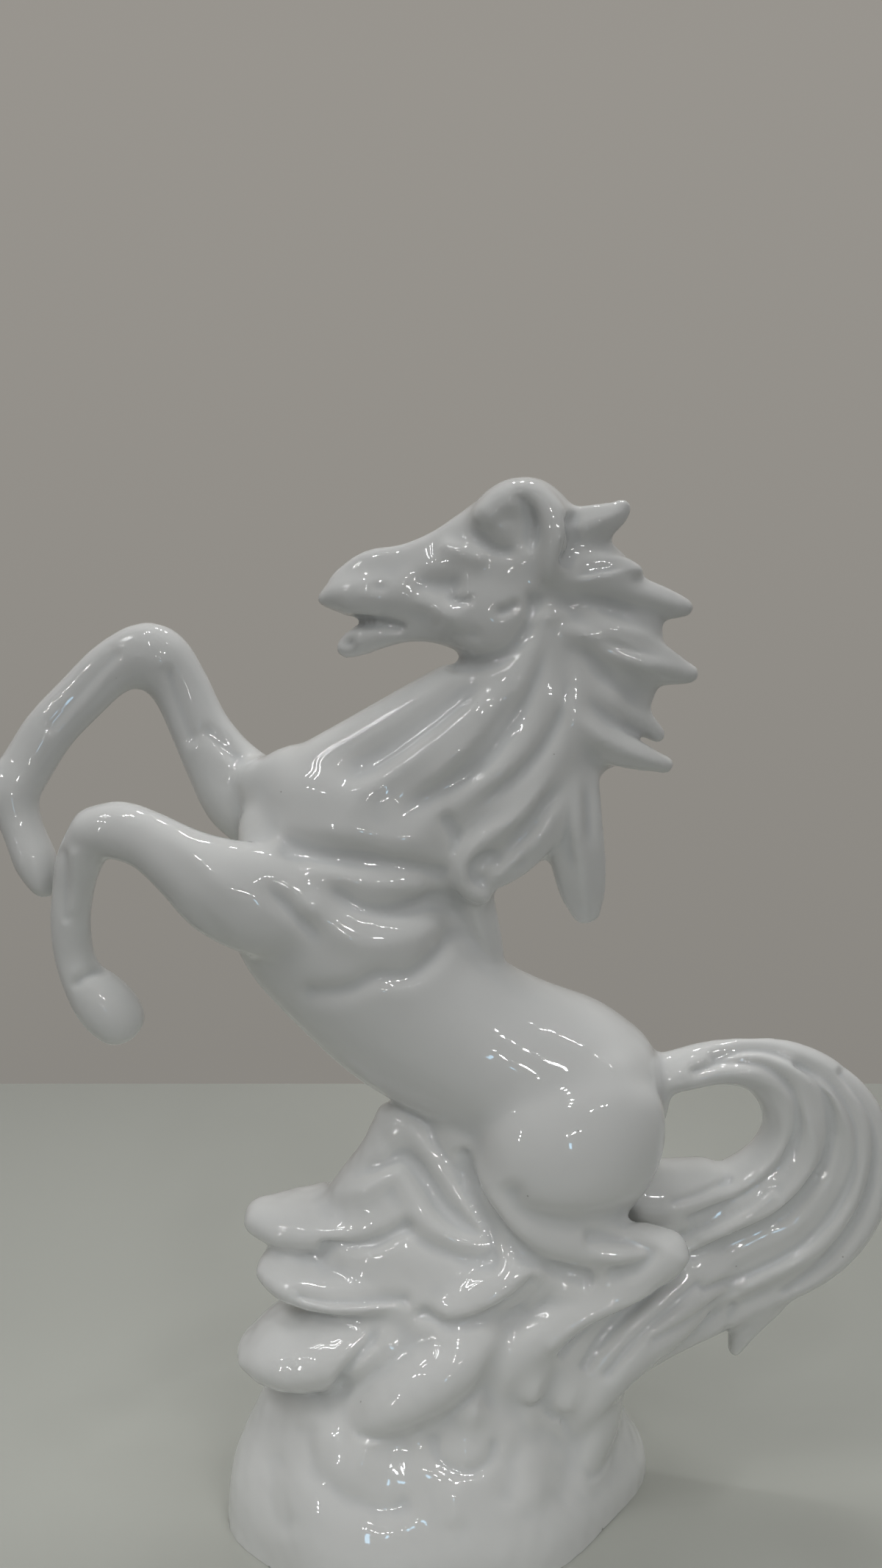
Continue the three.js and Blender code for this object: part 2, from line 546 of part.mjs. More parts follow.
// Stations on the rock: [part of the base's length, part of its depth, rise over the mound's top, half
// the thickness, half the width as a part of the base's depth].
function onRock(stations) {
  return stations.map(([long, deep, rise, thickness, width]) => (
    [long * BASE_LENGTH, deep * BASE_DEPTH, MOUND_HEIGHT + rise, thickness, width * BASE_DEPTH]));
}

function slab(stations) {
  return piece([(grow) => roll(onRock(stations), { sides: LIMB_SIDES + 2, grow })]);
}

// The crag that the horse rests on, from the mound up to a peak under the belly, and the rock that is
// draped from the peak down to the haunch
const crag = piece([
  (grow) => roll(onRock([
    [-0.01, -0.035, -22, 0.315 * BASE_LENGTH, 0.29], [-0.04, -0.035, -10, 0.295 * BASE_LENGTH, 0.27],
    [-0.075, -0.035, 0, 0.24 * BASE_LENGTH, 0.235], [-0.095, -0.025, 11, 0.14 * BASE_LENGTH, 0.175],
    [-0.115, -0.01, PEAK_RISE - 8, 0.076 * BASE_LENGTH, 0.115],
    [-0.125, 0, PEAK_RISE - 1.5, 0.033 * BASE_LENGTH, 0.065],
  ]), { sides: LIMB_SIDES + 2, grow }),
  (grow) => roll(onRock([
    [-0.105, -0.01, PEAK_RISE - 3, 5.5, 0.105], [-0.03, -0.035, 20.5, 9, 0.165],
    [0.055, -0.06, 14, 11, 0.185], [0.145, -0.07, 5, 12, 0.2], [0.23, -0.07, -6, 10, 0.21],
  ]), { sides: LOCK_SIDES + 1, grow }),
]);

// The ledges and slabs of the rock, each pressed flat and laid on the crag or the mound
const LEDGE_LIP = -LEDGE_REACH / BASE_LENGTH;

const upperLedge = slab([
  [LEDGE_LIP, -0.05, 2.5, 0.36 * LEDGE_THICKNESS, 0.08],
  [LEDGE_LIP + 0.065, -0.05, 1.5, LEDGE_THICKNESS / 2, 0.13], [-0.28, -0.035, 2, LEDGE_THICKNESS / 2, 0.165],
  [-0.175, -0.035, 2.5, LEDGE_THICKNESS / 2, 0.185], [-0.07, -0.025, 4, LEDGE_THICKNESS / 2, 0.2],
  [0.02, 0, 3, LEDGE_THICKNESS / 2, 0.185],
]);

const middleLedge = slab([
  [LEDGE_LIP + 0.04, -0.07, -8.5, 2.5, 0.095], [LEDGE_LIP + 0.095, -0.08, -10, 3.5, 0.15],
  [-0.24, -0.08, -11, 3.5, 0.2], [-0.12, -0.08, -9.5, 3.5, 0.22], [-0.02, -0.07, -7.5, 4, 0.22],
]);

const boulder = slab([
  [-0.04, -0.22, -9.5, 3.5, 0.07], [0.035, -0.22, -8.5, 6, 0.095], [0.115, -0.2, -7, 6.5, 0.105],
  [0.2, -0.175, -6, 4.5, 0.105],
]);

const leftSlab = slab([
  [-0.45, -0.165, -26.5, 3.5, 0.095], [-0.4, -0.165, -26, 7, 0.15], [-0.315, -0.15, -25, 9, 0.2],
  [-0.22, -0.14, -22, 9, 0.21], [-0.115, -0.13, -18, 8, 0.2],
]);

const frontSlab = slab([
  [-0.19, -0.245, -33, 4, 0.095], [-0.125, -0.255, -29, 7.5, 0.13], [-0.04, -0.255, -24.5, 9, 0.14],
  [0.05, -0.235, -20, 8.5, 0.14],
]);

const backSlab = slab([
  [-0.295, 0.2, -30, 4, 0.095], [-0.19, 0.245, -27, 6, 0.14], [-0.055, 0.27, -25, 6.5, 0.14],
  [0.085, 0.255, -23, 6, 0.13],
]);

// The parts in the order in which they are laid down. Each is cut back from all that came before it.
const parts = [
  ['rock_mound', mound],
  ['trunk', trunk],
  ['neck', neckPiece],
  ['head', headPiece],
  ['lower_jaw', jawPiece],
  ['left_ear', earPieces[0]],
  ['right_ear', earPieces[1]],
  ['forelock', forelock],
  ['left_foreleg', leftForeleg],
  ['right_foreleg', rightForeleg],
  ['left_hind_leg', hindLeg(-1)],
  ['right_hind_leg', hindLeg(1)],
  ['mane_crest', crest],
  ['mane_left_strands', maneSide(-1)],
  ['mane_right_strands', maneSide(1)],
  ['mane_left_curl', curl(-1)],
  ['mane_right_curl', curl(1)],
  ['mane_drop_lock', dropLock],
  ['mane_wither_lock', witherLock],
  ['tail', tail],
  ['tail_lock', tailLock],
  ['rock_crag', crag],
  ['rock_upper_ledge', upperLedge],
  ['rock_middle_ledge', middleLedge],
  ['rock_boulder', boulder],
  ['rock_left_slab', leftSlab],
  ['rock_front_slab', frontSlab],
  ['rock_back_slab', backSlab],
];

function meshOf(name, shape) {
  const { vertProperties, triVerts } = shape.getMesh();
  const geometry = new THREE.BufferGeometry();
  geometry.setAttribute('position', new THREE.BufferAttribute(new Float32Array(vertProperties), 3));
  geometry.setIndex(new THREE.BufferAttribute(new Uint32Array(triVerts), 1));
  geometry.computeVertexNormals();
  const glaze = new THREE.MeshStandardMaterial({ color: 0xe9ebec, roughness: 0.12, metalness: 0 });
  glaze.name = `${name}_glaze`;
  const mesh = new THREE.Mesh(geometry, glaze);
  mesh.name = name;
  return mesh;
}

const figurine = new THREE.Group();
figurine.name = 'porcelain_horse';
const laid = parts.map(([name, part], index) => {
  const carriers = parts.slice(0, index).map(([, carrier]) => carrier);
  return [name, luted(part, carriers)];
});
laid.forEach(([name, shape]) => figurine.add(meshOf(name, shape)));

// The figurine is set out from the middle of its base. It stands with its own box centred on the origin.
const box = new THREE.Box3().setFromObject(figurine);
const middle = box.getCenter(new THREE.Vector3());
figurine.position.set(-middle.x, -middle.y, 0);

export default figurine;
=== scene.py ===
"""A white porcelain horse rearing over a rock: its modelled and glazed surface, studio and camera.

Every piece is first rolled out by itself, as the potter rolls and presses each lump of clay. The rolls
are then luted into one skin, fettled smooth where they meet, and tooled with muscle lines, hair grooves
and folds of rock. The skin is parted again into one shell for each piece of the frame, so that the
joints keep their seams while the glaze runs over them without a step.

Lengths are in millimetres until a mesh is made. The horse faces -X and the camera looks along +Y.
"""

import logging
import math
from dataclasses import dataclass, field, replace
from enum import Enum
from typing import Iterable, Sequence

import bmesh
import bpy
import numpy as np
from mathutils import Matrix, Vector
from mathutils.bvhtree import BVHTree


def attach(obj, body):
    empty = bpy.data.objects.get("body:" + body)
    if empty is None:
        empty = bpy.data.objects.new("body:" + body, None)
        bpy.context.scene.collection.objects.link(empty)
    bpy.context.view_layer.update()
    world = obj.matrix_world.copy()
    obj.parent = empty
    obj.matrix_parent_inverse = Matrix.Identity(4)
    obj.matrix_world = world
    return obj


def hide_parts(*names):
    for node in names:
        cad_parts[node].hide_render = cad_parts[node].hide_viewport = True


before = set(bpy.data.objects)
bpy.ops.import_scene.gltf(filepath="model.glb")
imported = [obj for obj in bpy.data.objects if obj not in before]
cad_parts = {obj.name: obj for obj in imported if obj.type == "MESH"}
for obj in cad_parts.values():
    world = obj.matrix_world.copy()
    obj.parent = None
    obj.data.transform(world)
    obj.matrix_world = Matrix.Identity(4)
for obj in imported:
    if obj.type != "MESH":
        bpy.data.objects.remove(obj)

LOG = logging.getLogger("porcelain_horse")
MM = 0.001
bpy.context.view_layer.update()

Station = tuple[float, float, float, float, float]
Spine = Sequence[Station]
Triple = tuple[float, float, float]
Colour = tuple[float, float, float, float]
Point = tuple[float, float]
Mark = Sequence[float | Point]

# How far the figurine is moved, in millimetres, to stand where the frame's solids do.
SHIFT = (-2.255, 3.0, 0.0)
FINE_VOXEL, QUICK_VOXEL = 0.75, 1.1


class Side(Enum):
    """The side of the horse that a tool mark is made on."""

    NEAR = -1
    FAR = 1
    BOTH = 0


class Clay(Enum):
    """The kind of surface a piece has, which sets how far its joints are smoothed."""

    FLESH = "flesh"
    HAIR = "hair"
    ROCK = "rock"


def read(rows: bpy.types.bpy_prop_collection, name: str, width: int = 1, kind: type = float) -> np.ndarray:
    """Read one property of every row of a mesh's data.

    Args:
        rows: The mesh's vertices, edges, loops or faces, or the data of an attribute.
        name: The property.
        width: How many numbers it has.
        kind: The kind of number.

    Returns:
        One number for each row, or one row of numbers where the property has several.
    """
    flat = np.empty(len(rows) * width, kind)
    rows.foreach_get(name, flat)
    return flat.reshape(-1, width) if width > 1 else flat


def select_only(chosen: Sequence[bpy.types.Object]) -> None:
    """Select these objects and no others, and make the first one active."""
    bpy.ops.object.select_all(action="DESELECT")
    for item in chosen:
        item.select_set(True)
    bpy.context.view_layer.objects.active = chosen[0]


def between(first: np.ndarray, last: np.ndarray, start: float, stop: float, place: float) -> np.ndarray:
    """The value at a place on the straight line from first, at start, to last, at stop."""
    return (stop - place) / (stop - start) * first + (place - start) / (stop - start) * last


def catmull(points: np.ndarray, steps: int) -> np.ndarray:
    """Sample a centripetal Catmull-Rom curve through rows of numbers.

    Args:
        points: One row for each station; the first three columns are its place.
        steps: Samples between one station and the next.

    Returns:
        The sampled rows, first and last station included.
    """
    rows = np.vstack([2 * points[0] - points[1], points, 2 * points[-1] - points[-2]])
    gaps = np.sqrt(np.maximum(np.linalg.norm(np.diff(rows[:, :3], axis=0), axis=1), 1e-6))
    knots = np.concatenate([[0.0], np.cumsum(gaps)])
    out = []
    for index in range(1, len(rows) - 2):
        t0, t1, t2, t3 = knots[index - 1:index + 3]
        p0, p1, p2, p3 = rows[index - 1:index + 3]
        for t in np.linspace(t1, t2, steps, endpoint=False):
            a1, a2, a3 = between(p0, p1, t0, t1, t), between(p1, p2, t1, t2, t), between(p2, p3, t2, t3, t)
            out.append(between(between(a1, a2, t0, t2, t), between(a2, a3, t1, t3, t), t1, t2, t))
    out.append(rows[-2])
    return np.array(out)


@dataclass(frozen=True)
class Roll:
    """One roll of clay: oval sections strung along a smooth spine.

    A station is x, y, z, depth and width: half the size across the spine in the side view, and half the
    size from side to side, and never less than the thinnest. Ribs run along the roll, as the strands of a
    lock of hair do. A cap stands out by a share of the lesser half size of its end.
    """

    node: str
    stations: Spine
    ribs: int = 0
    rib_depth: float = 0.0
    segments: int = 36
    steps: int = 5
    cap_rings: int = 5
    cap_reach: float = 0.8
    thinnest: float = 0.25

    def mirrored(self, node: str = "") -> "Roll":
        """The same roll on the other side of the horse, for the same piece or for the one named."""
        flipped = [(x, -y, z, deep, wide) for x, y, z, deep, wide in self.stations]
        return replace(self, node=node or self.node, stations=flipped)

    def sections(self) -> list[tuple[np.ndarray, np.ndarray, np.ndarray]]:
        """Work out the rings of the roll, with a round cap at each end.

        Returns:
            One (centre, across, over) for each ring, where the last two are half axes.
        """
        rows = catmull(np.array(self.stations, float), self.steps)
        places, sizes = rows[:, :3], np.maximum(rows[:, 3:], self.thinnest)
        tangents = np.gradient(places, axis=0)
        tangents /= np.linalg.norm(tangents, axis=1)[:, None]
        rings = []

        def ring(index: int, push: float, scale: float) -> None:
            tangent = tangents[index]
            across = np.array([0.0, 1.0, 0.0]) - tangent[1] * tangent
            across /= np.linalg.norm(across)
            over = np.cross(tangent, across)
            centre = places[index] + push * tangent
            rings.append((centre, across * sizes[index][1] * scale, over * sizes[index][0] * scale))

        def cap(end: int, order: Iterable[int]) -> None:
            reach = self.cap_reach * min(sizes[end])
            for step in order:
                angle = 0.5 * math.pi * (1 - step / self.cap_rings)
                ring(end, (1 if end else -1) * reach * math.sin(angle), max(math.cos(angle), 0.0))

        cap(0, range(self.cap_rings))
        for index in range(len(places)):
            ring(index, 0.0, 1.0)
        cap(-1, reversed(range(self.cap_rings)))
        return rings

    def build(self) -> bpy.types.Object:
        """Add a sphere and pull its rings out to the sections of the roll."""
        rings = self.sections()
        last = len(rings) - 1
        bpy.ops.mesh.primitive_uv_sphere_add(segments=self.segments, ring_count=last, radius=1.0)
        ball = bpy.context.object
        ball.name = self.node
        unit = read(ball.data.vertices, "co", 3)
        index = np.rint(np.arccos(np.clip(unit[:, 2], -1, 1)) / math.pi * last).astype(int)
        angle = np.arctan2(unit[:, 1], unit[:, 0])
        swell = 1 + self.rib_depth * np.cos(self.ribs * angle)
        centres, across, over = (np.array(row)[index] for row in zip(*rings))
        shaped = centres + (across * np.cos(angle)[:, None] + over * np.sin(angle)[:, None]) * swell[:, None]
        ball.data.vertices.foreach_set("co", (self.press(shaped) * MM).ravel())
        ball.data.update()
        return ball

    def press(self, points: np.ndarray) -> np.ndarray:
        """Change the finished roll by hand. A plain roll is left as it is."""
        return points


@dataclass(frozen=True)
class MoundRoll(Roll):
    """The mound's upright roll, pushed askew and rippled round its edge.

    The ripples turn round the mound by a radian in each `ripple_lean` millimetres of height.
    """

    skew: float = 0.25
    ripples: int = 7
    ripple_height: float = 1.1
    ripple_lean: float = 17.0

    def press(self, points: np.ndarray) -> np.ndarray:
        """Push the back of the mound over and ripple it.

        Args:
            points: The points of the upright roll in millimetres.

        Returns:
            The points as they are to stand.
        """
        out = points.copy()
        x, y = self.stations[0][0], self.stations[0][1]
        deep, wide = self.stations[0][3:]
        angle = np.arctan2((points[:, 1] - y) / wide, (points[:, 0] - x) / deep)
        ripple = self.ripple_height * (np.cos(self.ripples * angle + points[:, 2] / self.ripple_lean) - 1)
        out[:, 0] += ripple * np.cos(angle) + self.skew * (points[:, 1] - y)
        out[:, 1] += ripple * np.sin(angle)
        return out


@dataclass(frozen=True)
class Stroke:
    """One stroke of a tool, which presses the skin in or raises it along a line.

    The line is drawn as the camera sees it on the near side, in pixels of a picture 1200 wide and 2133
    high. The far side gets it mirrored. Width and depth are in millimetres; a depth below 0 is a groove.
    Ease is the number of widths over which the stroke comes in and goes out. Only the pieces in nodes are
    tooled, or all of them if it is empty.
    """

    path: Sequence[Point]
    width: float
    depth: float
    nodes: tuple[str, ...]
    side: Side
    ease: float

    def drawn(self) -> np.ndarray:
        """The smooth line through the points of the path."""
        if len(self.path) < 3:
            return np.linspace(*np.array(self.path, float), 9)
        spots = np.array(self.path, float)
        return catmull(np.column_stack([spots, np.zeros(len(spots))]), 6)[:, :2]


def tooled(nodes: tuple[str, ...], side: Side, marks: Iterable[Mark]) -> list[Stroke]:
    """Make strokes on the same pieces.

    Args:
        nodes: The pieces that are tooled, or none for all of them.
        side: The side of the horse that they are on.
        marks: For each stroke its width, depth and ease, and then the points of its path.

    Returns:
        The strokes, in the same order.
    """
    return [Stroke(path, width, depth, nodes, side, ease) for width, depth, ease, *path in marks]


@dataclass
class Sculpture:
    """A sub-assembly of the figurine: its rolls and the strokes that are tooled on it."""

    clay: Clay = Clay.FLESH

    def rolls(self) -> list[Roll]:
        """The rolls of every piece of the sub-assembly."""
        return []

    def strokes(self) -> list[Stroke]:
        """The tool marks on the sub-assembly."""
        return []

    def pieces(self) -> list[str]:
        """The names of the frame's nodes that the sub-assembly stands for."""
        return sorted({roll.node for roll in self.rolls()})


def both(rolls: Iterable[Roll]) -> list[Roll]:
    """Each roll with its mirror image on the other side."""
    out = []
    for roll in rolls:
        out += [roll, roll.mirrored()]
    return out


TRUNK = ("trunk", "neck", "left_foreleg", "right_foreleg")
NECK = ("neck", "trunk", "mane_left_strands", "mane_right_strands")
SKULL = ("head",)
HEAD_HAIR = ("forelock", "head", "left_ear", "right_ear", "mane_crest", "neck")
CREST = ("mane_crest", "mane_left_strands", "mane_right_strands", "neck")
CURL = ("mane_left_curl", "mane_right_curl", "mane_crest") + NECK
DROP = ("mane_drop_lock", "mane_crest")
TAIL = ("tail", "tail_lock")
CRAG = ("rock_crag", "rock_upper_ledge", "rock_mound")
ROCKS = CRAG + ("rock_middle_ledge", "rock_boulder", "rock_left_slab", "rock_front_slab")
MOUND = ("rock_mound",)


@dataclass
class Body(Sculpture):
    """The trunk with its haunches."""

    trunk: Spine = (
        (51, 0, 97.5, 7, 9), (48, 0, 98.5, 14.5, 15), (42, 0, 100.5, 18.5, 19.5), (32.5, 0, 103.5, 21.5, 21),
        (18, 0, 109, 21.5, 20), (6, 0, 114.8, 21.7, 19), (-7, 0, 123.8, 22.8, 19.5), (-17.5, 0, 136, 24.5, 21),
        (-26, 0, 147.5, 25.5, 21), (-33.5, 0, 158, 22.5, 18.5), (-38, 0, 165, 16.5, 14), (-41, 0, 169.5, 9, 8),
    )
    breast: Spine = (
        (-44, 6, 177.5, 7, 7), (-38.5, 4, 176.5, 11.5, 10), (-30, 1, 174, 15, 14.5), (-20, 0, 171, 19, 18),
    )
    haunch: Spine = (
        (38, -9, 109, 11, 11), (37, -11, 103.5, 18, 13), (32, -12.5, 95, 21.5, 14.5), (24.5, -13.5, 87.5, 20, 14),
        (17.5, -14.5, 80.5, 13.5, 11),
    )
    groin: Spine = ((3, -5, 93.5, 6, 8), (9, -7, 90, 8, 9), (16, -8, 87, 9, 10))

    def rolls(self) -> list[Roll]:
        """The barrel and the breast, and a haunch and a groin on each side."""
        barrel = [Roll("trunk", self.trunk, segments=48), Roll("trunk", self.breast)]
        return barrel + both([Roll("trunk", self.haunch), Roll("trunk", self.groin)])

    def strokes(self) -> list[Stroke]:
        """The muscles of the chest and the creases of the haunch."""
        return tooled(TRUNK, Side.BOTH, (
            (2.4, -1.8, 1.6, (372, 1147), (437, 1165), (508, 1172), (572, 1183), (615, 1194)),
            (2.2, -1.8, 4.0, (351, 1187), (387, 1230), (423, 1265), (450, 1282)),
            (2.4, -1.8, 3.0, (444, 1194), (480, 1229), (529, 1240), (586, 1226), (622, 1208)),
            (3.0, 0.7, 1.6, (370, 1118), (440, 1130), (530, 1140), (590, 1148)),
            (2.8, 1.0, 1.6, (400, 1180), (470, 1192), (540, 1206), (590, 1206)),
            (3.2, 1.0, 1.6, (405, 1215), (450, 1260), (500, 1284), (560, 1274), (610, 1246)),
            (2.4, -1.3, 1.6, (625, 1255), (592, 1300), (560, 1325), (510, 1330), (470, 1348), (400, 1352)),
            (2.0, -1.2, 1.6, (600, 1100), (625, 1150), (640, 1210)),
        )) + tooled((), Side.BOTH, (
            (2.0, -2.3, 1.6, (626, 1555), (634, 1598), (649, 1636), (684, 1682), (726, 1718), (764, 1733),
             (815, 1743)),
            (3.2, -1.5, 1.6, (688, 1600), (704, 1645), (745, 1662), (811, 1664), (877, 1649)),
        ))


@dataclass
class Head(Sculpture):
    """The neck, the head with its open lower jaw, and the ears."""

    neck: Spine = (
        (-13, 0, 164, 22, 17.5), (-2.5, 0, 177, 22, 16), (9, 0, 188, 19.5, 14), (18, 0, 199, 15, 12.5),
        (20, 0, 213, 13.5, 11), (18, 0, 226.5, 11.5, 9),
    )
    throat: Spine = (
        (-36, 0, 173.5, 7, 9), (-29.5, 0, 179.5, 9, 10.5), (-20.5, 0, 184.6, 9.3, 10.5), (-11, 0, 190, 9.3, 10.5),
        (-2, 0, 195.2, 9.2, 10), (6, 0, 199.8, 9, 9.5), (12, 0, 205, 7, 8),
    )
    skull: Spine = (
        (-28, 0, 222, 2, 4), (-23.5, 0, 222.8, 4.5, 7.2), (-17, 0, 223, 6.2, 8.4), (-9.5, 0, 223, 6.8, 7.8),
        (-1.5, 0, 224.5, 10, 8.6), (7, 0, 226, 13.5, 9.8), (15.5, 0, 230.5, 16, 10.5), (21.5, 0, 234, 13, 9.5),
    )
    bridge: Spine = (
        (-24, 0, 225.8, 3, 3.6), (-17, 0, 229, 4.6, 4.6), (-8.5, 0, 230.4, 4.6, 4.4), (0.5, 0, 233, 5.6, 5.2),
        (8, 0, 237, 6.2, 6.4), (15, 0, 240, 6, 6.5),
    )
    cheek: Spine = (
        (1, -6, 218.5, 5, 4), (6, -6.5, 218.5, 9, 4.6), (12, -6.9, 219, 11, 4.7), (18, -6.5, 220.5, 8.5, 4.3),
    )
    jaw: Spine = (
        (7, 0, 215, 6, 7), (-1, 0, 216, 4.5, 6), (-8, 0, 215.5, 3.6, 5.6), (-14, 0, 214, 3.6, 5.8),
        (-19.5, 0, 212.2, 3.8, 5.4), (-23, 0, 210.4, 2.8, 4.2),
    )
    ear: Spine = (
        (22, -7, 244.5, 3.2, 4), (25, -9.5, 240, 3.8, 4), (26, -10.5, 235, 3.8, 3.8), (25, -10.5, 230, 3, 3.2),
        (23.5, -10.5, 226, 1.4, 2),
    )

    def rolls(self) -> list[Roll]:
        """The neck, skull, cheeks, jaw and ears."""
        left = Roll("left_ear", self.ear)
        return [
            Roll("neck", self.neck, segments=48), Roll("neck", self.throat), Roll("head", self.skull),
            Roll("head", self.bridge), *both([Roll("head", self.cheek)]), Roll("lower_jaw", self.jaw),
            left, left.mirrored("right_ear"),
        ]

    def strokes(self) -> list[Stroke]:
        """The long muscles of the neck, and the eye, cheek and mouth of the head."""
        return tooled(NECK, Side.BOTH, (
            (3.2, -2.0, 3.0, (446, 1070), (520, 1024), (590, 974), (664, 915)),
            (2.4, 1.1, 3.0, (478, 1088), (550, 1042), (620, 984), (670, 935)),
            (3.2, -1.6, 3.0, (530, 1112), (610, 1068), (668, 1002), (706, 925)),
        )) + tooled(NECK + SKULL, Side.BOTH, (
            (2.0, -1.6, 1.6, (600, 900), (650, 903), (695, 885), (722, 845), (728, 800)),
        )) + tooled(SKULL + HEAD_HAIR, Side.BOTH, (
            (1.5, -1.4, 4.0, (640, 714), (655, 735), (686, 750), (714, 744)),
        )) + tooled(SKULL, Side.BOTH, (
            (2.2, 1.2, 1.6, (590, 742), (630, 752), (668, 768)),
            (3.2, -1.9, 1.6, (550, 782), (590, 794), (640, 796)),
            (1.8, 0.7, 1.6, (560, 812), (598, 830), (632, 848)),
            (0.9, -1.2, 1.6, (604, 811), (624, 818), (646, 814)),
            (0.9, -1.3, 1.6, (672, 834), (690, 829), (708, 818)),
            (1.6, -0.7, 1.6, (600, 862), (630, 866), (660, 862)),
        )) + tooled(("head", "lower_jaw"), Side.BOTH, (
            (1.2, -2.0, 1.6, (470, 842), (500, 846), (530, 850), (556, 858)),
        )) + tooled(("lower_jaw",), Side.BOTH, (
            (1.3, -1.5, 1.6, (468, 862), (473, 876), (470, 888)),
        )) + tooled(SKULL, Side.BOTH, (
            (1.2, -0.6, 1.6, (500, 800), (516, 798), (530, 804)),
            (1.5, 0.5, 1.6, (462, 826), (490, 832), (520, 834)),
        ))


@dataclass
class Forelegs(Sculpture):
    """The two raised forelegs."""

    left_arm: Spine = (
        (-27.5, -12, 151, 10.5, 9), (-39, -14, 152.5, 13, 10), (-50, -15, 156.5, 12, 9.5),
        (-59.5, -15, 162.5, 8.5, 8), (-67.5, -14, 167.5, 7, 7), (-74.5, -13, 169.5, 7, 7), (-81, -12, 169, 5.5, 6.5),
    )
    left_shank: Spine = (
        (-79, -12, 170, 6, 6.5), (-83.5, -11, 163, 5.6, 6), (-86, -10, 155, 5, 5.5), (-87, -10, 147, 4.9, 5),
        (-87, -9, 140, 4.8, 5.2), (-85.5, -9, 134, 5, 5.5), (-83, -8.5, 130, 6.4, 6.6), (-79.8, -8, 125.8, 7.2, 7.4),
        (-76.8, -7.5, 121.8, 6.6, 7.2),
    )
    right_leg: Spine = (
        (-38.5, 12, 166.5, 11, 9), (-49, 13, 174, 11.5, 9), (-55.5, 13, 182.5, 9, 8), (-60.5, 13, 191.5, 7.5, 7),
        (-65, 13, 201.5, 7.5, 7), (-71, 12, 208.5, 8.5, 7.5), (-80, 11, 206, 7, 6.5), (-88, 9, 198.5, 6.5, 6),
        (-95.5, 7, 190.5, 6.5, 6), (-101, 5, 181.5, 6.5, 6), (-104, 3, 176, 6.8, 6.5), (-102.5, 2.5, 170, 5.2, 6),
        (-100.5, 1.5, 165, 5, 6), (-97.8, 0.5, 158.5, 5.2, 6.5), (-95.5, 0, 153, 3.6, 5.4),
    )

    def rolls(self) -> list[Roll]:
        """A forearm and a shank on the left, and one bent leg on the right."""
        return [
            Roll("left_foreleg", self.left_arm), Roll("left_foreleg", self.left_shank),
            Roll("right_foreleg", self.right_leg),
        ]

    def strokes(self) -> list[Stroke]:
        """The tendons of the legs, and the grooves over the hooves."""
        return tooled(("left_foreleg",), Side.NEAR, (
            (2.6, 0.6, 4.0, (215, 1120), (260, 1160), (300, 1200), (340, 1240)),
            (2.0, -0.5, 4.0, (255, 1215), (290, 1260), (330, 1300)),
            (1.4, 0.7, 1.6, (100, 1150), (105, 1200), (100, 1250)),
            (1.2, -0.7, 1.6, (85, 1150), (88, 1210), (90, 1260)),
            (1.2, -0.9, 1.6, (95, 1345), (125, 1325), (150, 1318)),
        )) + tooled(("right_foreleg", "trunk"), Side.NEAR, (
            (2.0, -1.0, 1.6, (270, 985), (300, 1010), (335, 1040)),
        )) + tooled(("right_foreleg",), Side.NEAR, (
            (2.0, -0.9, 1.6, (225, 900), (240, 950), (265, 1020)),
            (1.6, -0.7, 1.6, (60, 1000), (120, 930), (165, 880)),
        ))


@dataclass
class HindLegs(Sculpture):
    """The two folded hind legs."""

    gaskin: Spine = (
        (20, -15.5, 78.5, 12, 10), (29, -16.5, 73.5, 9, 8.5), (38.5, -17.5, 70.5, 6.8, 6.5), (47.5, -18, 69, 6.5, 6),
        (54.5, -18.5, 68.5, 5.5, 5.5),
    )
    fold: Spine = (
        (22, -15, 63, 8, 7), (30, -16, 62.5, 7.5, 6.5), (37, -17, 64, 6.5, 5.5), (46, -17.5, 66, 4, 4.5),
    )
    cannon: Spine = (
        (53.5, -18.5, 68, 5.5, 5.5), (47, -19.5, 63, 4.3, 4.8), (39.5, -20.5, 59, 3.8, 4.3),
        (31, -21.5, 55, 4.3, 4.5), (23.5, -22.5, 50.5, 5.5, 5), (17, -23, 45.5, 7, 5.5),
        (11.5, -22.5, 40, 8, 6), (9, -21.5, 34.5, 7, 6),
    )

    def rolls(self) -> list[Roll]:
        """A gaskin, a cannon and the fold of skin between them on each side."""
        left = [Roll("left_hind_leg", row) for row in (self.gaskin, self.cannon, self.fold)]
        return left + [roll.mirrored("right_hind_leg") for roll in left]

    def strokes(self) -> list[Stroke]:
        """The tendons of the gaskin and the cannon."""
        return tooled(("left_hind_leg", "right_hind_leg"), Side.BOTH, (
            (1.7, -1.5, 1.6, (790, 1686), (855, 1690), (888, 1706), (868, 1726), (820, 1735)),
            (2.2, 0.9, 1.6, (800, 1708), (845, 1710), (866, 1712)),
            (1.6, 0.7, 1.6, (850, 1668), (910, 1672), (940, 1700), (925, 1725)),
            (1.4, 0.7, 1.6, (900, 1760), (850, 1775), (790, 1800), (740, 1840)),
        ))


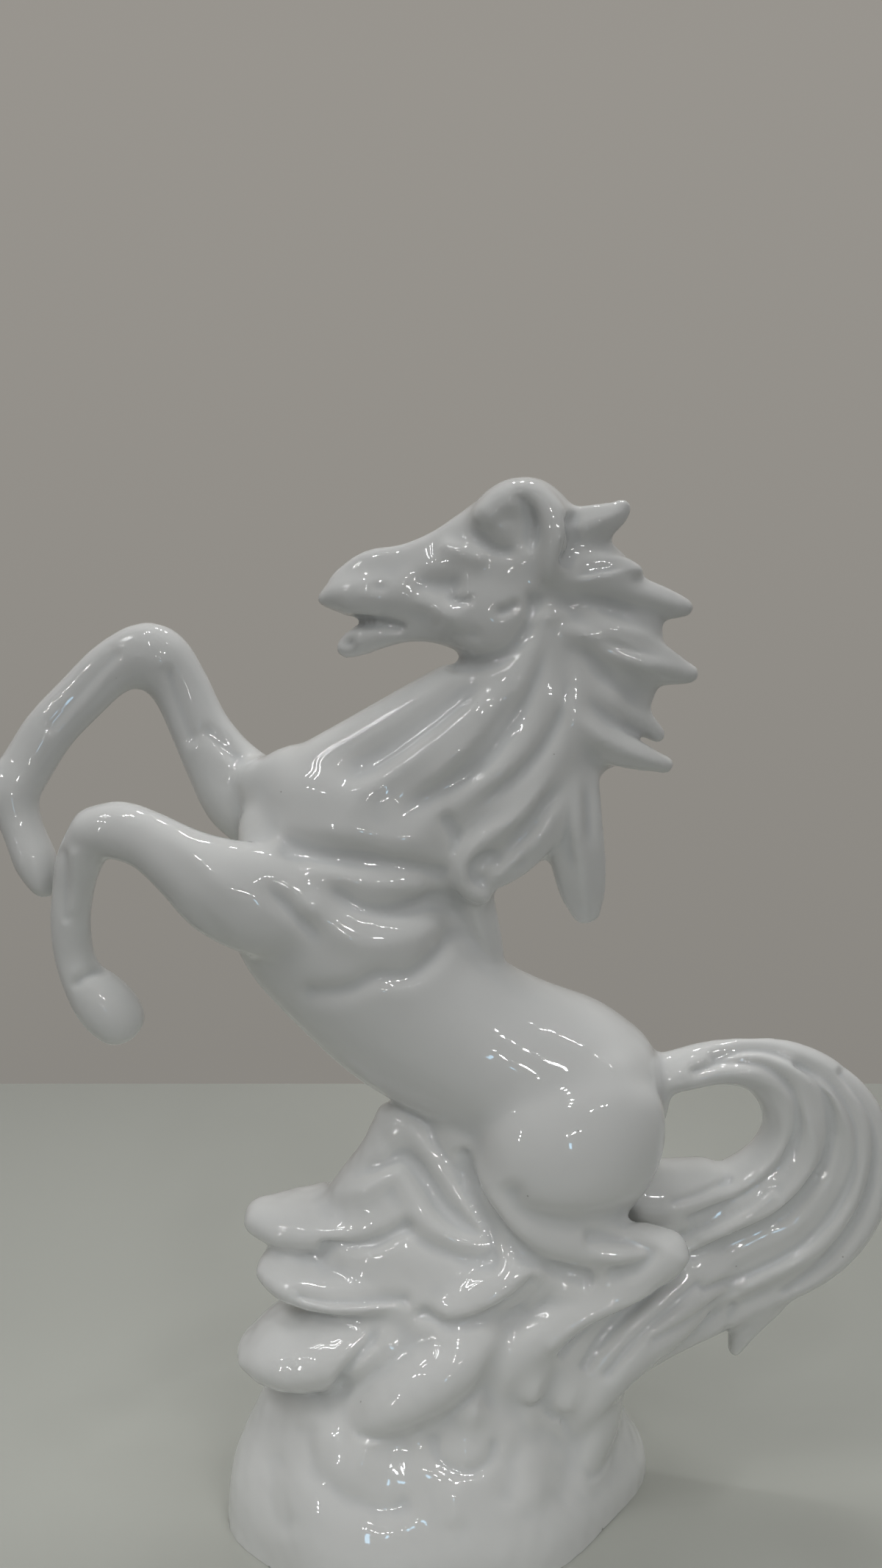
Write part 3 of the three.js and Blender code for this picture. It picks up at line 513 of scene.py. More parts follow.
@dataclass
class Mane(Sculpture):
    """The forelock and the flying mane."""

    clay: Clay = Clay.HAIR
    forelock: Spine = (
        (26, 0, 239.5, 6, 9), (21.5, -1, 243.5, 6, 9), (17, -3, 244, 5.5, 8.5), (12.5, -3, 242.5, 4.6, 8.5),
        (8.5, -3.5, 240, 3, 7),
    )
    web: Spine = (
        (25, 0, 237, 7.5, 7), (32, 0, 229, 8, 7.5), (36, 0, 215, 9.5, 8.5), (36.5, 0, 202, 9.5, 8.5),
        (34.5, 0, 190, 8, 8), (30.5, 0, 178, 6, 6.5), (29, 0, 167, 4.5, 5),
    )
    veil: Spine = (
        (30, 0, 235, 5, 4.5), (37.5, -1, 228.5, 6.5, 4.5), (42.5, -1, 219.5, 8, 4.5), (44, -1, 208, 8.5, 4.5),
        (41, 0, 196.5, 8, 4.5), (36.5, 0, 186, 6.5, 4.5),
    )
    locks: Sequence[Spine] = (
        ((23, 0, 235, 6, 8), (30.5, -1, 237.5, 5.5, 7), (36.5, -2, 239.5, 4.5, 5.5), (40.5, -2, 241.5, 3, 4),
         (42, -2, 243, 2.2, 3)),
        ((26.5, -2, 226, 6, 8), (35, -3.5, 227.5, 5, 7), (41.5, -4, 228.5, 3.5, 5), (45.5, -4, 228.5, 1.5, 3)),
        ((29, 0, 224.5, 5.5, 8), (39.5, 0, 223.5, 5.5, 7), (48, 0, 222, 4.5, 6), (54.5, 0, 220.5, 3.3, 4.5),
         (57.5, 0, 220, 2.3, 3.2)),
        ((29, -2, 214.5, 6, 8), (39.5, -3, 212, 6, 7), (48, -3, 208, 5.5, 6), (55, -2, 205.5, 3.7, 4.5),
         (58.8, -2, 204.6, 2.3, 3.2)),
        ((30.5, 0, 205, 5.5, 8), (40, 1, 198.5, 5, 7), (47.5, 1, 193.5, 3.3, 5), (52, 1, 189.8, 2, 3)),
        ((26, -3, 199, 6, 9), (35.5, -4, 191, 5.5, 8), (44, -4, 186.5, 4, 6), (51, -3, 184, 2.5, 4),
         (53.3, -3, 183.3, 2.2, 3)),
    )
    strands: Sequence[Spine] = (
        ((18.5, -5.5, 214, 4, 4), (17.5, -7.5, 204, 5, 5), (11, -10, 193.5, 6, 5), (2, -12.2, 184.5, 5.5, 4.6),
         (-6, -12.5, 178, 3.5, 3)),
        ((25, -5, 212.5, 4.5, 4), (24, -6.8, 200.5, 5.5, 5), (19, -9.3, 189.5, 6, 5), (10, -11.3, 180, 6, 4.8),
         (0.5, -12.5, 173.5, 3.5, 3)),
        ((30, -5, 209, 4.5, 4), (30, -6.8, 198, 5.5, 4.8), (26, -8.3, 186.5, 6, 5), (18.5, -9.8, 177.5, 6, 5),
         (9.5, -11, 171, 4, 3.5)),
    )
    curls: Sequence[Spine] = (
        ((29.5, -5, 194, 4.5, 4.5), (27.2, -7, 187.5, 5, 5), (22.8, -9, 179.5, 5, 5.5), (17.6, -10.5, 173.2, 5, 5.5),
         (11.7, -11, 169, 4.5, 5.5), (7.5, -11.5, 165, 3.8, 5), (5.3, -11.5, 160, 3.4, 4.5), (6.8, -11, 155.6, 3, 4),
         (10, -10.5, 153.8, 2.6, 3.5)),
        ((31, -5, 186, 4.5, 4.5), (29.9, -6, 180.6, 5, 5), (24.6, -8, 171, 5, 5.5), (19.5, -9, 164.5, 4.8, 5.5),
         (15, -10, 160.5, 4.2, 5), (11.5, -10, 158, 3.4, 4.5)),
    )
    bed: Spine = (
        (-6, 0, 166, 13, 13), (5, 0, 164.5, 12, 12.5), (13, 0, 163.5, 10, 12), (21, 0, 168, 8, 9), (27, 0, 176, 7, 7),
    )
    drops: Sequence[Spine] = (
        ((31, -1, 191, 5.5, 5.5), (31, -3, 182, 6.3, 7), (31, -4.5, 172, 7, 7.5), (32.5, -3.5, 161, 6.8, 7),
         (34, -2, 152.5, 5.6, 6), (35, -1, 147.5, 3.8, 4.5)),
    )
    wither: Spine = (
        (6.5, -2, 155, 5.5, 9), (9, -2, 146, 5, 7), (12, -1, 137, 3.5, 5), (14.5, 0, 129.5, 1.5, 3),
    )

    def rolls(self) -> list[Roll]:
        """The forelock, crest, side strands, curls and hanging locks."""
        strand = {"ribs": 6, "rib_depth": 0.07}
        out = [Roll("forelock", self.forelock)]
        out += [Roll("mane_crest", row) for row in (self.web, self.veil, self.bed)]
        out += [Roll("mane_crest", lock, **strand) for lock in self.locks]
        for group, rows in (("strands", self.strands), ("curl", self.curls)):
            for row in rows:
                near = Roll(f"mane_left_{group}", row, **strand)
                out += [near, near.mirrored(f"mane_right_{group}")]
        out += [Roll("mane_drop_lock", lock, **strand) for lock in self.drops]
        return out + [Roll("mane_wither_lock", self.wither, **strand)]

    def strokes(self) -> list[Stroke]:
        """The grooves between the locks, and the waves of the forelock."""
        return tooled(HEAD_HAIR + SKULL, Side.BOTH, (
            (1.4, -1.7, 3.0, (700, 660), (717, 690), (723, 720), (719, 756)),
            (3.0, 1.6, 1.6, (640, 694), (676, 712), (704, 738)),
        )) + tooled(HEAD_HAIR, Side.BOTH, (
            (1.5, -1.8, 1.6, (778, 690), (780, 730), (766, 778)),
        )) + tooled(CREST, Side.BOTH, (
            (1.8, -1.9, 4.0, (770, 800), (792, 780), (834, 771), (868, 780)),
            (2.2, 1.0, 6.0, (785, 808), (860, 800), (925, 822)),
            (1.8, -1.9, 5.0, (776, 812), (834, 826), (875, 840)),
            (1.4, 0.8, 5.0, (799, 843), (848, 857), (904, 872)),
            (1.6, -1.1, 6.0, (790, 858), (850, 882), (915, 898)),
            (1.8, 0.9, 6.0, (800, 880), (876, 905), (932, 920)),
            (1.9, -1.8, 7.0, (785, 870), (815, 910), (850, 945), (870, 962)),
            (2.0, 0.8, 5.0, (800, 930), (850, 970), (900, 998)),
            (1.6, -1.1, 7.0, (790, 935), (825, 975), (880, 1012)),
            (1.6, -0.9, 8.0, (750, 850), (724, 940), (664, 1036), (590, 1085)),
        )) + tooled(CREST + CURL, Side.BOTH, (
            (1.6, -0.9, 8.0, (778, 900), (758, 985), (700, 1060), (620, 1110)),
        )) + tooled(CREST + SKULL, Side.BOTH, (
            (1.6, 0.7, 3.0, (705, 846), (745, 840), (785, 836)),
        )) + tooled(CURL, Side.BOTH, (
            (1.8, -1.1, 5.0, (768, 1050), (738, 1100), (705, 1138), (676, 1156)),
            (1.7, -1.1, 2.5, (690, 1162), (660, 1168), (644, 1182), (650, 1198), (672, 1190)),
            (1.7, -0.9, 4.0, (738, 1148), (708, 1180), (680, 1198)),
        )) + tooled(DROP, Side.BOTH, (
            (1.5, -0.9, 5.0, (795, 1050), (803, 1110), (800, 1165)),
            (1.5, -0.8, 5.0, (765, 1080), (772, 1150), (788, 1205)),
        ))


@dataclass
class Tail(Sculpture):
    """The looped tail, a fan of strands between an inner and an outer line.

    The strands sway to one side and the other in turn, in full from the station `sway_from` on. From the
    inner strand to the outer one the girth rises and the width falls by a share.
    """

    clay: Clay = Clay.HAIR
    inner: Sequence[Point] = (
        (50, 104), (61, 105.5), (70, 107), (78, 105), (83, 99.5), (85, 92), (82.5, 84.5), (75.5, 78), (66, 74),
        (56, 69), (47, 61),
    )
    outer: Sequence[Point] = (
        (53, 105), (69, 110), (84.5, 110), (96, 105), (105, 95.5), (108.5, 83), (106, 70), (97, 58),
        (78, 47.5), (56, 36), (39, 25),
    )
    depths: Sequence[float] = (1, 0.85, 0.85, 0.9, 0.95, 1, 1.1, 1.2, 1.2, 1, 0.9)
    widths: Sequence[float] = (1, 0.9, 0.9, 0.9, 0.95, 1, 1.1, 1.2, 1.3, 1.5, 1.7)
    root: Spine = ((47, 0, 75, 8, 10), (57, 0, 75, 7.5, 10), (67, 0, 77, 6, 9))
    strand_count: int = 5
    girth: float = 5.0
    half_width: float = 7.0
    sway: float = 0.7
    sway_from: float = 3
    inner_girth: float = 0.85
    girth_rise: float = 0.15
    width_fall: float = 0.1
    skirt: Sequence[Spine] = (
        ((56, -6, 60, 4, 4), (43.3, -9, 56, 4.5, 5), (35.6, -13, 54, 4.5, 5), (27.1, -18, 48.5, 4.5, 5),
         (22.5, -22, 43, 4, 5), (20.6, -24, 37, 3.5, 4.5)),
        ((63, -6, 55, 4, 4), (49.2, -7.5, 50, 4.5, 5), (41.2, -12, 47.5, 4.5, 5.5), (35.3, -16, 43, 4.5, 5.5),
         (31.5, -19, 37.5, 4, 5), (29, -21, 32.5, 3.5, 4.5)),
        ((70, -5, 56, 4, 4), (58, -6, 50.5, 4.5, 5.5), (49.2, -8.5, 44.5, 5, 6), (42.3, -12, 38.5, 5, 6),
         (37.5, -15.5, 33, 4.5, 6), (34, -18, 27.5, 3.5, 5)),
        ((66, -3, 57, 9, 8), (55.5, -6, 49, 9.5, 11), (45, -8.5, 43, 10, 13), (38, -10.5, 36, 9, 13),
         (33, -12, 28.5, 8, 11.5), (29, -12, 22, 6, 9)),
        ((42, -9, 52.5, 5, 6), (33, -13.5, 47, 5.5, 7), (28, -15.5, 41, 6, 8), (25.5, -15.5, 33, 6, 8),
         (24, -14, 26, 5, 7)),
        ((58, -1, 50, 6, 8), (46, -3, 42, 7.5, 12), (38, -4, 33.5, 8.5, 15), (36.5, -4, 23.5, 9.5, 18),
         (33, -4, 13, 9.5, 19)),
    )
    tip: Spine = (
        (88, 0, 54, 5, 6), (82, 0, 46.5, 5.5, 6), (77.5, 0, 39, 4, 5), (75, 0, 31.5, 1.8, 3),
    )

    def rolls(self) -> list[Roll]:
        """The strands of the loop, the skirt over the rock, the root and the loose tip."""
        out = []
        for index in range(self.strand_count):
            share = index / (self.strand_count - 1)
            sway = self.sway * math.cos(math.pi * index)
            row = []
            for step, ((x0, z0), (x1, z1)) in enumerate(zip(self.inner, self.outer)):
                row.append((
                    x0 + share * (x1 - x0), sway * min(1.0, step / self.sway_from), z0 + share * (z1 - z0),
                    self.depths[step] * self.girth * (self.inner_girth + self.girth_rise * share),
                    self.widths[step] * self.half_width * (1 - self.width_fall * share),
                ))
            out.append(Roll("tail", row, ribs=4, rib_depth=0.05))
        out += [Roll("tail", row) for row in self.skirt]
        return out + [Roll("tail", self.root), Roll("tail_lock", self.tip, ribs=6, rib_depth=0.08)]

    def strokes(self) -> list[Stroke]:
        """The grooves between the strands, which follow the loop round and open into a fan."""
        return tooled(TAIL, Side.BOTH, (
            (1.3, -1.6, 1.6, (935, 1462), (985, 1445), (1040, 1450), (1080, 1490), (1085, 1540), (1060, 1590),
             (1000, 1635), (930, 1665)),
            (1.3, -1.6, 1.6, (960, 1440), (1030, 1425), (1095, 1450), (1130, 1510), (1125, 1580), (1070, 1650),
             (990, 1690), (930, 1715)),
            (1.3, -1.5, 1.6, (1080, 1442), (1125, 1465), (1165, 1530), (1160, 1600), (1110, 1680), (1030, 1730),
             (950, 1760)),
            (1.2, -1.2, 1.6, (1140, 1450), (1190, 1530), (1185, 1620), (1130, 1710), (1060, 1765)),
            (1.3, -1.0, 1.6, (1000, 1600), (950, 1625), (905, 1640)),
            (1.4, 0.9, 1.6, (1060, 1620), (1000, 1665), (945, 1690)),
            (1.3, -1.5, 1.6, (960, 1740), (900, 1790), (850, 1840), (820, 1880)),
            (1.3, -1.2, 1.6, (1010, 1750), (940, 1800), (880, 1830)),
            (1.3, -1.5, 1.6, (925, 1720), (870, 1770), (820, 1820), (790, 1870)),
            (1.3, -1.3, 1.6, (900, 1700), (850, 1740), (800, 1790), (760, 1850)),
            (0.9, -0.8, 1.6, (1000, 1770), (990, 1810), (988, 1840)),
        ))


@dataclass
class Rock(Sculpture):
    """The crag, its ledges and the hollow mound that they stand on."""

    clay: Clay = Clay.ROCK
    mound: Spine = (
        (0.5, -3, -6, 52.5, 43), (0.5, -3, 0, 52.5, 43), (0.5, -3, 8.2, 51.7, 42.1), (1.5, -2.5, 19.7, 46.7, 37.4),
        (3, -1.5, 32, 40.4, 31.8), (2, -1, 44.2, 35.7, 27.5), (1, -1, 55.8, 30.5, 22.8), (1, 0, 66, 22, 15.5),
    )
    crag: Spine = (
        (-1, -3, 46, 33, 25), (-4, -3, 58, 31, 23), (-8, -3, 68, 27, 19), (-10.5, -2, 78.5, 19, 14),
        (-12, -1, 88.5, 8.5, 9.5), (-13, 0, 95.5, 3.5, 5.5),
    )
    drape: Spine = (
        (-11, -1, 94, 5.5, 8), (-3.5, -2, 88, 8, 10), (4, -3, 79, 9, 12), (11, -5, 69, 11, 14), (22, -6, 60, 10, 17),
    )
    ledges: Sequence[tuple[str, Spine]] = (
        ("rock_upper_ledge", ((-46, -4, 70.5, 4, 7), (-39, -4, 69.5, 5.5, 11), (-29.5, -3, 70, 5.5, 14),
                              (-18.5, -3, 70.5, 5.5, 16), (-7.5, -2, 72, 5.5, 17), (2, 0, 71, 5.5, 16))),
        ("rock_middle_ledge", ((-42, -8, 60.5, 3.5, 8), (-36, -9.5, 59.5, 5, 12.5), (-25.5, -10, 58.5, 5, 16),
                               (-12.5, -9, 59.5, 4.5, 17.5), (-2, -7, 61, 4, 18))),
        ("rock_boulder", ((-5, -20, 54.5, 3.5, 7), (1, -20.5, 56.5, 6, 9), (9, -19, 60, 7.5, 10),
                          (17, -17, 64, 7.5, 10), (24, -14, 68, 5, 9))),
        ("rock_left_slab", ((-47, -14, 41.5, 3.5, 8), (-42, -14, 42, 7, 13), (-33, -13, 43, 9, 17),
                            (-23, -12, 46, 9, 18), (-12, -11, 50, 8, 17))),
        ("rock_front_slab", ((-22, -22.5, 31.5, 3.5, 8), (-16, -23, 34.5, 7, 11.5), (-8, -23, 39.5, 9, 13.5),
                             (1, -21, 45, 9.5, 14), (8, -18, 50, 8, 12))),
        ("rock_back_slab", ((-31, 17, 38, 4, 8), (-20, 21, 41, 6, 12), (-6, 23, 43, 6.5, 12), (9, 22, 45, 6, 11))),
    )

    def rolls(self) -> list[Roll]:
        """The mound, the crag and its ledges."""
        rolls = [
            MoundRoll("rock_mound", self.mound, segments=64), Roll("rock_crag", self.crag, segments=48),
            Roll("rock_crag", self.drape),
        ]
        return rolls + [Roll(node, row) for node, row in self.ledges]

    def strokes(self) -> list[Stroke]:
        """The draped ridges of the crag, the undercuts of the slabs and the lumps of the mound."""
        return tooled(CRAG, Side.NEAR, (
            (3.0, 1.6, 4.0, (430, 1630), (490, 1620), (537, 1598), (560, 1622), (584, 1662), (622, 1688),
             (700, 1706)),
            (2.6, 1.5, 4.0, (530, 1504), (572, 1548), (602, 1598), (650, 1655), (690, 1690)),
            (2.2, -1.8, 5.0, (462, 1606), (523, 1584), (547, 1574), (572, 1594), (605, 1645), (660, 1688)),
        )) + tooled(ROCKS, Side.NEAR, (
            (1.8, -2.0, 1.6, (425, 1700), (455, 1696), (510, 1690), (545, 1672), (566, 1662)),
            (2.0, -1.8, 1.6, (390, 1762), (450, 1768), (520, 1768), (566, 1772)),
            (1.8, -1.8, 3.0, (520, 1800), (494, 1838), (470, 1876), (452, 1908)),
            (1.8, -2.0, 1.6, (564, 1779), (605, 1804), (655, 1798), (698, 1775), (740, 1734)),
            (2.4, -1.0, 1.6, (540, 1655), (575, 1690), (640, 1712), (690, 1722)),
        )) + tooled(MOUND, Side.NEAR, (
            (4.2, 2.4, 1.6, (610, 1912), (642, 1918), (674, 1910)),
            (5.0, 1.6, 1.6, (620, 1965), (634, 1970), (648, 1965)),
            (1.8, -0.8, 1.6, (588, 1945), (598, 1985), (632, 2003), (664, 1990), (678, 1950)),
            (8.0, 2.0, 1.6, (455, 1950), (495, 1975), (540, 1985)),
            (3.0, -0.9, 1.6, (412, 1922), (422, 1992), (465, 2036), (523, 2055), (575, 2042)),
            (3.2, -0.7, 1.6, (378, 1960), (368, 2035), (400, 2100)),
            (3.0, 0.6, 1.6, (612, 2012), (616, 2045), (622, 2085)),
            (3.0, -0.6, 1.6, (690, 1960), (690, 2010), (685, 2060)),
            (3.5, 0.7, 1.6, (720, 1960), (727, 2010), (718, 2065)),
            (3.0, -0.5, 1.6, (765, 1975), (768, 2020), (750, 2060)),
            (3.5, 0.6, 1.6, (800, 1950), (808, 2000), (788, 2040)),
            (3.0, 0.8, 1.6, (700, 1915), (760, 1935), (830, 1945)),
        ))


@dataclass(frozen=True)
class Eye:
    """The camera's place and lens, in millimetres and pixels of the picture."""

    width: float = 1200.0
    height: float = 2133.0
    focal: float = 1602.0
    pitch: float = math.radians(8.0)
    back: float = 279.3
    high: float = 217.56
    film: float = 36.0

    def picture(self, points: np.ndarray) -> tuple[np.ndarray, np.ndarray]:
        """Find where points are seen in the picture.

        Args:
            points: Rows of x, y, z in millimetres.

        Returns:
            The pixels, and how many pixels a millimetre takes at each point.
        """
        cos, sin = math.cos(self.pitch), math.sin(self.pitch)
        away, up = points[:, 1] + self.back, points[:, 2] - self.high
        depth = away * cos - up * sin
        scale = self.focal / depth
        pixels = np.stack([self.width / 2 + scale * points[:, 0],
                           self.height / 2 - scale * (away * sin + up * cos)], axis=1)
        return pixels, scale


@dataclass(frozen=True)
class Waves:
    """The slight waves of a glaze: each one's way, tightness and phase follow from its number."""

    count: int = 9
    turn: float = 2.4
    tilt: float = 0.7
    tilt_step: float = 1.7
    tightness: float = 0.95
    tightening: float = 0.09
    phase: float = 1.3

    def heights(self, points: np.ndarray) -> np.ndarray:
        """The sum of the waves at each point, where one wave is 1 high."""
        out = np.zeros(len(points))
        for step in range(self.count):
            turn, tilt = self.turn * step, self.tilt * math.sin(self.tilt_step * step)
            way = np.array([math.cos(turn) * math.cos(tilt), math.sin(turn) * math.cos(tilt), math.sin(tilt)])
            out += np.sin(points @ way * (self.tightness + self.tightening * step) + self.phase * step * step)
        return out


@dataclass
class Skin:
    """The luted skin of the whole figurine, held as arrays while it is fettled and tooled.

    A stroke begins to show where the skin is turned `grazing` away from the camera and shows in full after
    a further `turning`. It is followed out to `margin` pixels for each millimetre of its width.
    """

    points: np.ndarray
    corners: np.ndarray
    edges: np.ndarray
    grazing: float = 0.05
    turning: float = 0.3
    margin: float = 21

    def __post_init__(self) -> None:
        """Count the neighbours of each point."""
        self.degree = np.bincount(self.edges.ravel(), minlength=len(self.points)).astype(float)

    @classmethod
    def of(cls, mesh: bpy.types.Mesh) -> "Skin":
        """Read a mesh of quads and triangles.

        Args:
            mesh: The luted mesh, in metres.

        Returns:
            Its points in millimetres, four corners for each face (a triangle's last one twice) and edges.
        """
        loops, starts, totals = (read(rows, name, kind=np.int64) for rows, name in (
            (mesh.loops, "vertex_index"), (mesh.polygons, "loop_start"), (mesh.polygons, "loop_total")))
        corners = np.stack([loops[starts + np.minimum(k, totals - 1)] for k in range(4)], axis=1)
        return cls(read(mesh.vertices, "co", 3) / MM, corners, read(mesh.edges, "vertices", 2, np.int64))

    def spread(self, values: np.ndarray) -> np.ndarray:
        """The mean of a value over the neighbours of each point."""
        near, far = self.edges.T
        columns = values.reshape(len(values), -1).T
        size = len(values)
        out = [np.bincount(near, column[far], size) + np.bincount(far, column[near], size) for column in columns]
        return (np.array(out) / self.degree).T.reshape(values.shape)

    def normals(self) -> np.ndarray:
        """The outward normal at each point."""
        quads = self.corners
        a, b, c, d = (self.points[quads[:, k]] for k in range(4))
        turned = np.cross(c - a, d - b)
        out = np.zeros_like(self.points)
        for k in range(4):
            for axis in range(3):
                out[:, axis] += np.bincount(quads[:, k], turned[:, axis], len(self.points))
        return out / np.maximum(np.linalg.norm(out, axis=1), 1e-12)[:, None]

    def smooth(self, rounds: int, weight: np.ndarray, creases: float = 0.0) -> None:
        """Fettle the skin.

        Args:
            rounds: How often each point is moved towards its neighbours.
            weight: How far each point moves, from 0 to 1.
            creases: The further share by which a point in a hollow moves, as glaze fills it.
        """
        for _ in range(rounds):
            pull = self.spread(self.points) - self.points
            share = weight
            if creases:
                hollow = np.einsum("ij,ij->i", pull, self.normals()) > 0
                share = np.where(hollow, np.minimum(weight + creases, 1.0), weight)
            self.points += pull * share[:, None]

    def ripple(self, height: np.ndarray) -> None:
        """Let the glaze lie in slight waves, which break up the lights that it mirrors.

        Args:
            height: The height of the waves at each point, in millimetres.
        """
        self.points += self.normals() * (height * Waves().heights(self.points) / 2)[:, None]

    def tool(self, strokes: Iterable[Stroke], owners: np.ndarray, eye: Eye) -> None:
        """Press and raise the skin along the strokes.

        Args:
            strokes: The tool marks.
            owners: The name of the piece that each point belongs to.
            eye: The camera that the strokes are drawn for.
        """
        normals = self.normals()
        push = np.zeros(len(self.points))
        for hand in (Side.NEAR, Side.FAR):
            flip = np.array([1.0, -hand.value, 1.0])
            seen, scale = eye.picture(self.points * flip)
            view = self.points * flip - np.array([0.0, -eye.back, eye.high])
            view /= np.linalg.norm(view, axis=1)[:, None]
            facing = -np.einsum("ij,ij->i", view, normals * flip)
            shown = np.clip((facing + self.grazing) / self.turning, 0, 1)
            for stroke in strokes:
                if stroke.side not in (hand, Side.BOTH):
                    continue
                path = stroke.drawn()
                margin = self.margin * stroke.width
                inside = np.all((seen > path.min(0) - margin) & (seen < path.max(0) + margin), axis=1) & (shown > 0)
                if stroke.nodes:
                    inside &= np.isin(owners, stroke.nodes)
                index = np.nonzero(inside)[0]
                if not len(index):
                    continue
                spots = seen[index]
                nearest, place = np.full(len(index), 1e9), np.zeros(len(index))
                drawn = np.concatenate([[0.0], np.cumsum(np.linalg.norm(np.diff(path, axis=0), axis=1))])
                for start, stop, far, length in zip(path[:-1], path[1:], drawn[:-1], np.diff(drawn)):
                    run = stop - start
                    along = np.clip((spots - start) @ run / (run @ run), 0, 1)
                    away = np.linalg.norm(spots - start - along[:, None] * run, axis=1)
                    place = np.where(away < nearest, far + along * length, place)
                    nearest = np.minimum(nearest, away)
                reach = scale[index] * stroke.width
                fade = np.clip(np.minimum(place, drawn[-1] - place) / (stroke.ease * reach), 0, 1)
                fade = fade * fade * (3 - 2 * fade)
                push[index] += stroke.depth * np.exp(-(nearest / reach) ** 2) * shown[index] * fade
        self.points += normals * push[:, None]


@dataclass(frozen=True)
class Fettling:
    """How far the clays are smoothed, in rounds and weights, how the glaze lies on them, and how far the painted
    shade of their hollows spreads.

    The rounds of evening and filling are given for a skin with points every `grain` millimetres.
    """

    grain: float = 0.6
    foot_rise: float = 3.0
    foot_level: float = 0.01
    strand_flesh: float = 0.8
    tail_flesh: float = 0.4
    rough_rounds: int = 6
    rough: float = 0.6
    even_rounds: int = 30
    even_flesh: float = 0.5
    even_rock: float = 0.3
    fill_rounds: int = 40
    fill_least: float = 0.02
    fill_flesh: float = 0.1
    fill_rock: float = 0.05
    fill_creases: float = 0.5
    wave: float = 0.012
    rock_wave: float = 0.025
    last_rounds: int = 3
    last: float = 0.35
    # The darkening of the hollows, partly pooled glaze and partly painted crease shade: how far it spreads and how
    # strongly it shows.
    pool_shade_rounds: int = 4
    pool_shade_gain: float = 12


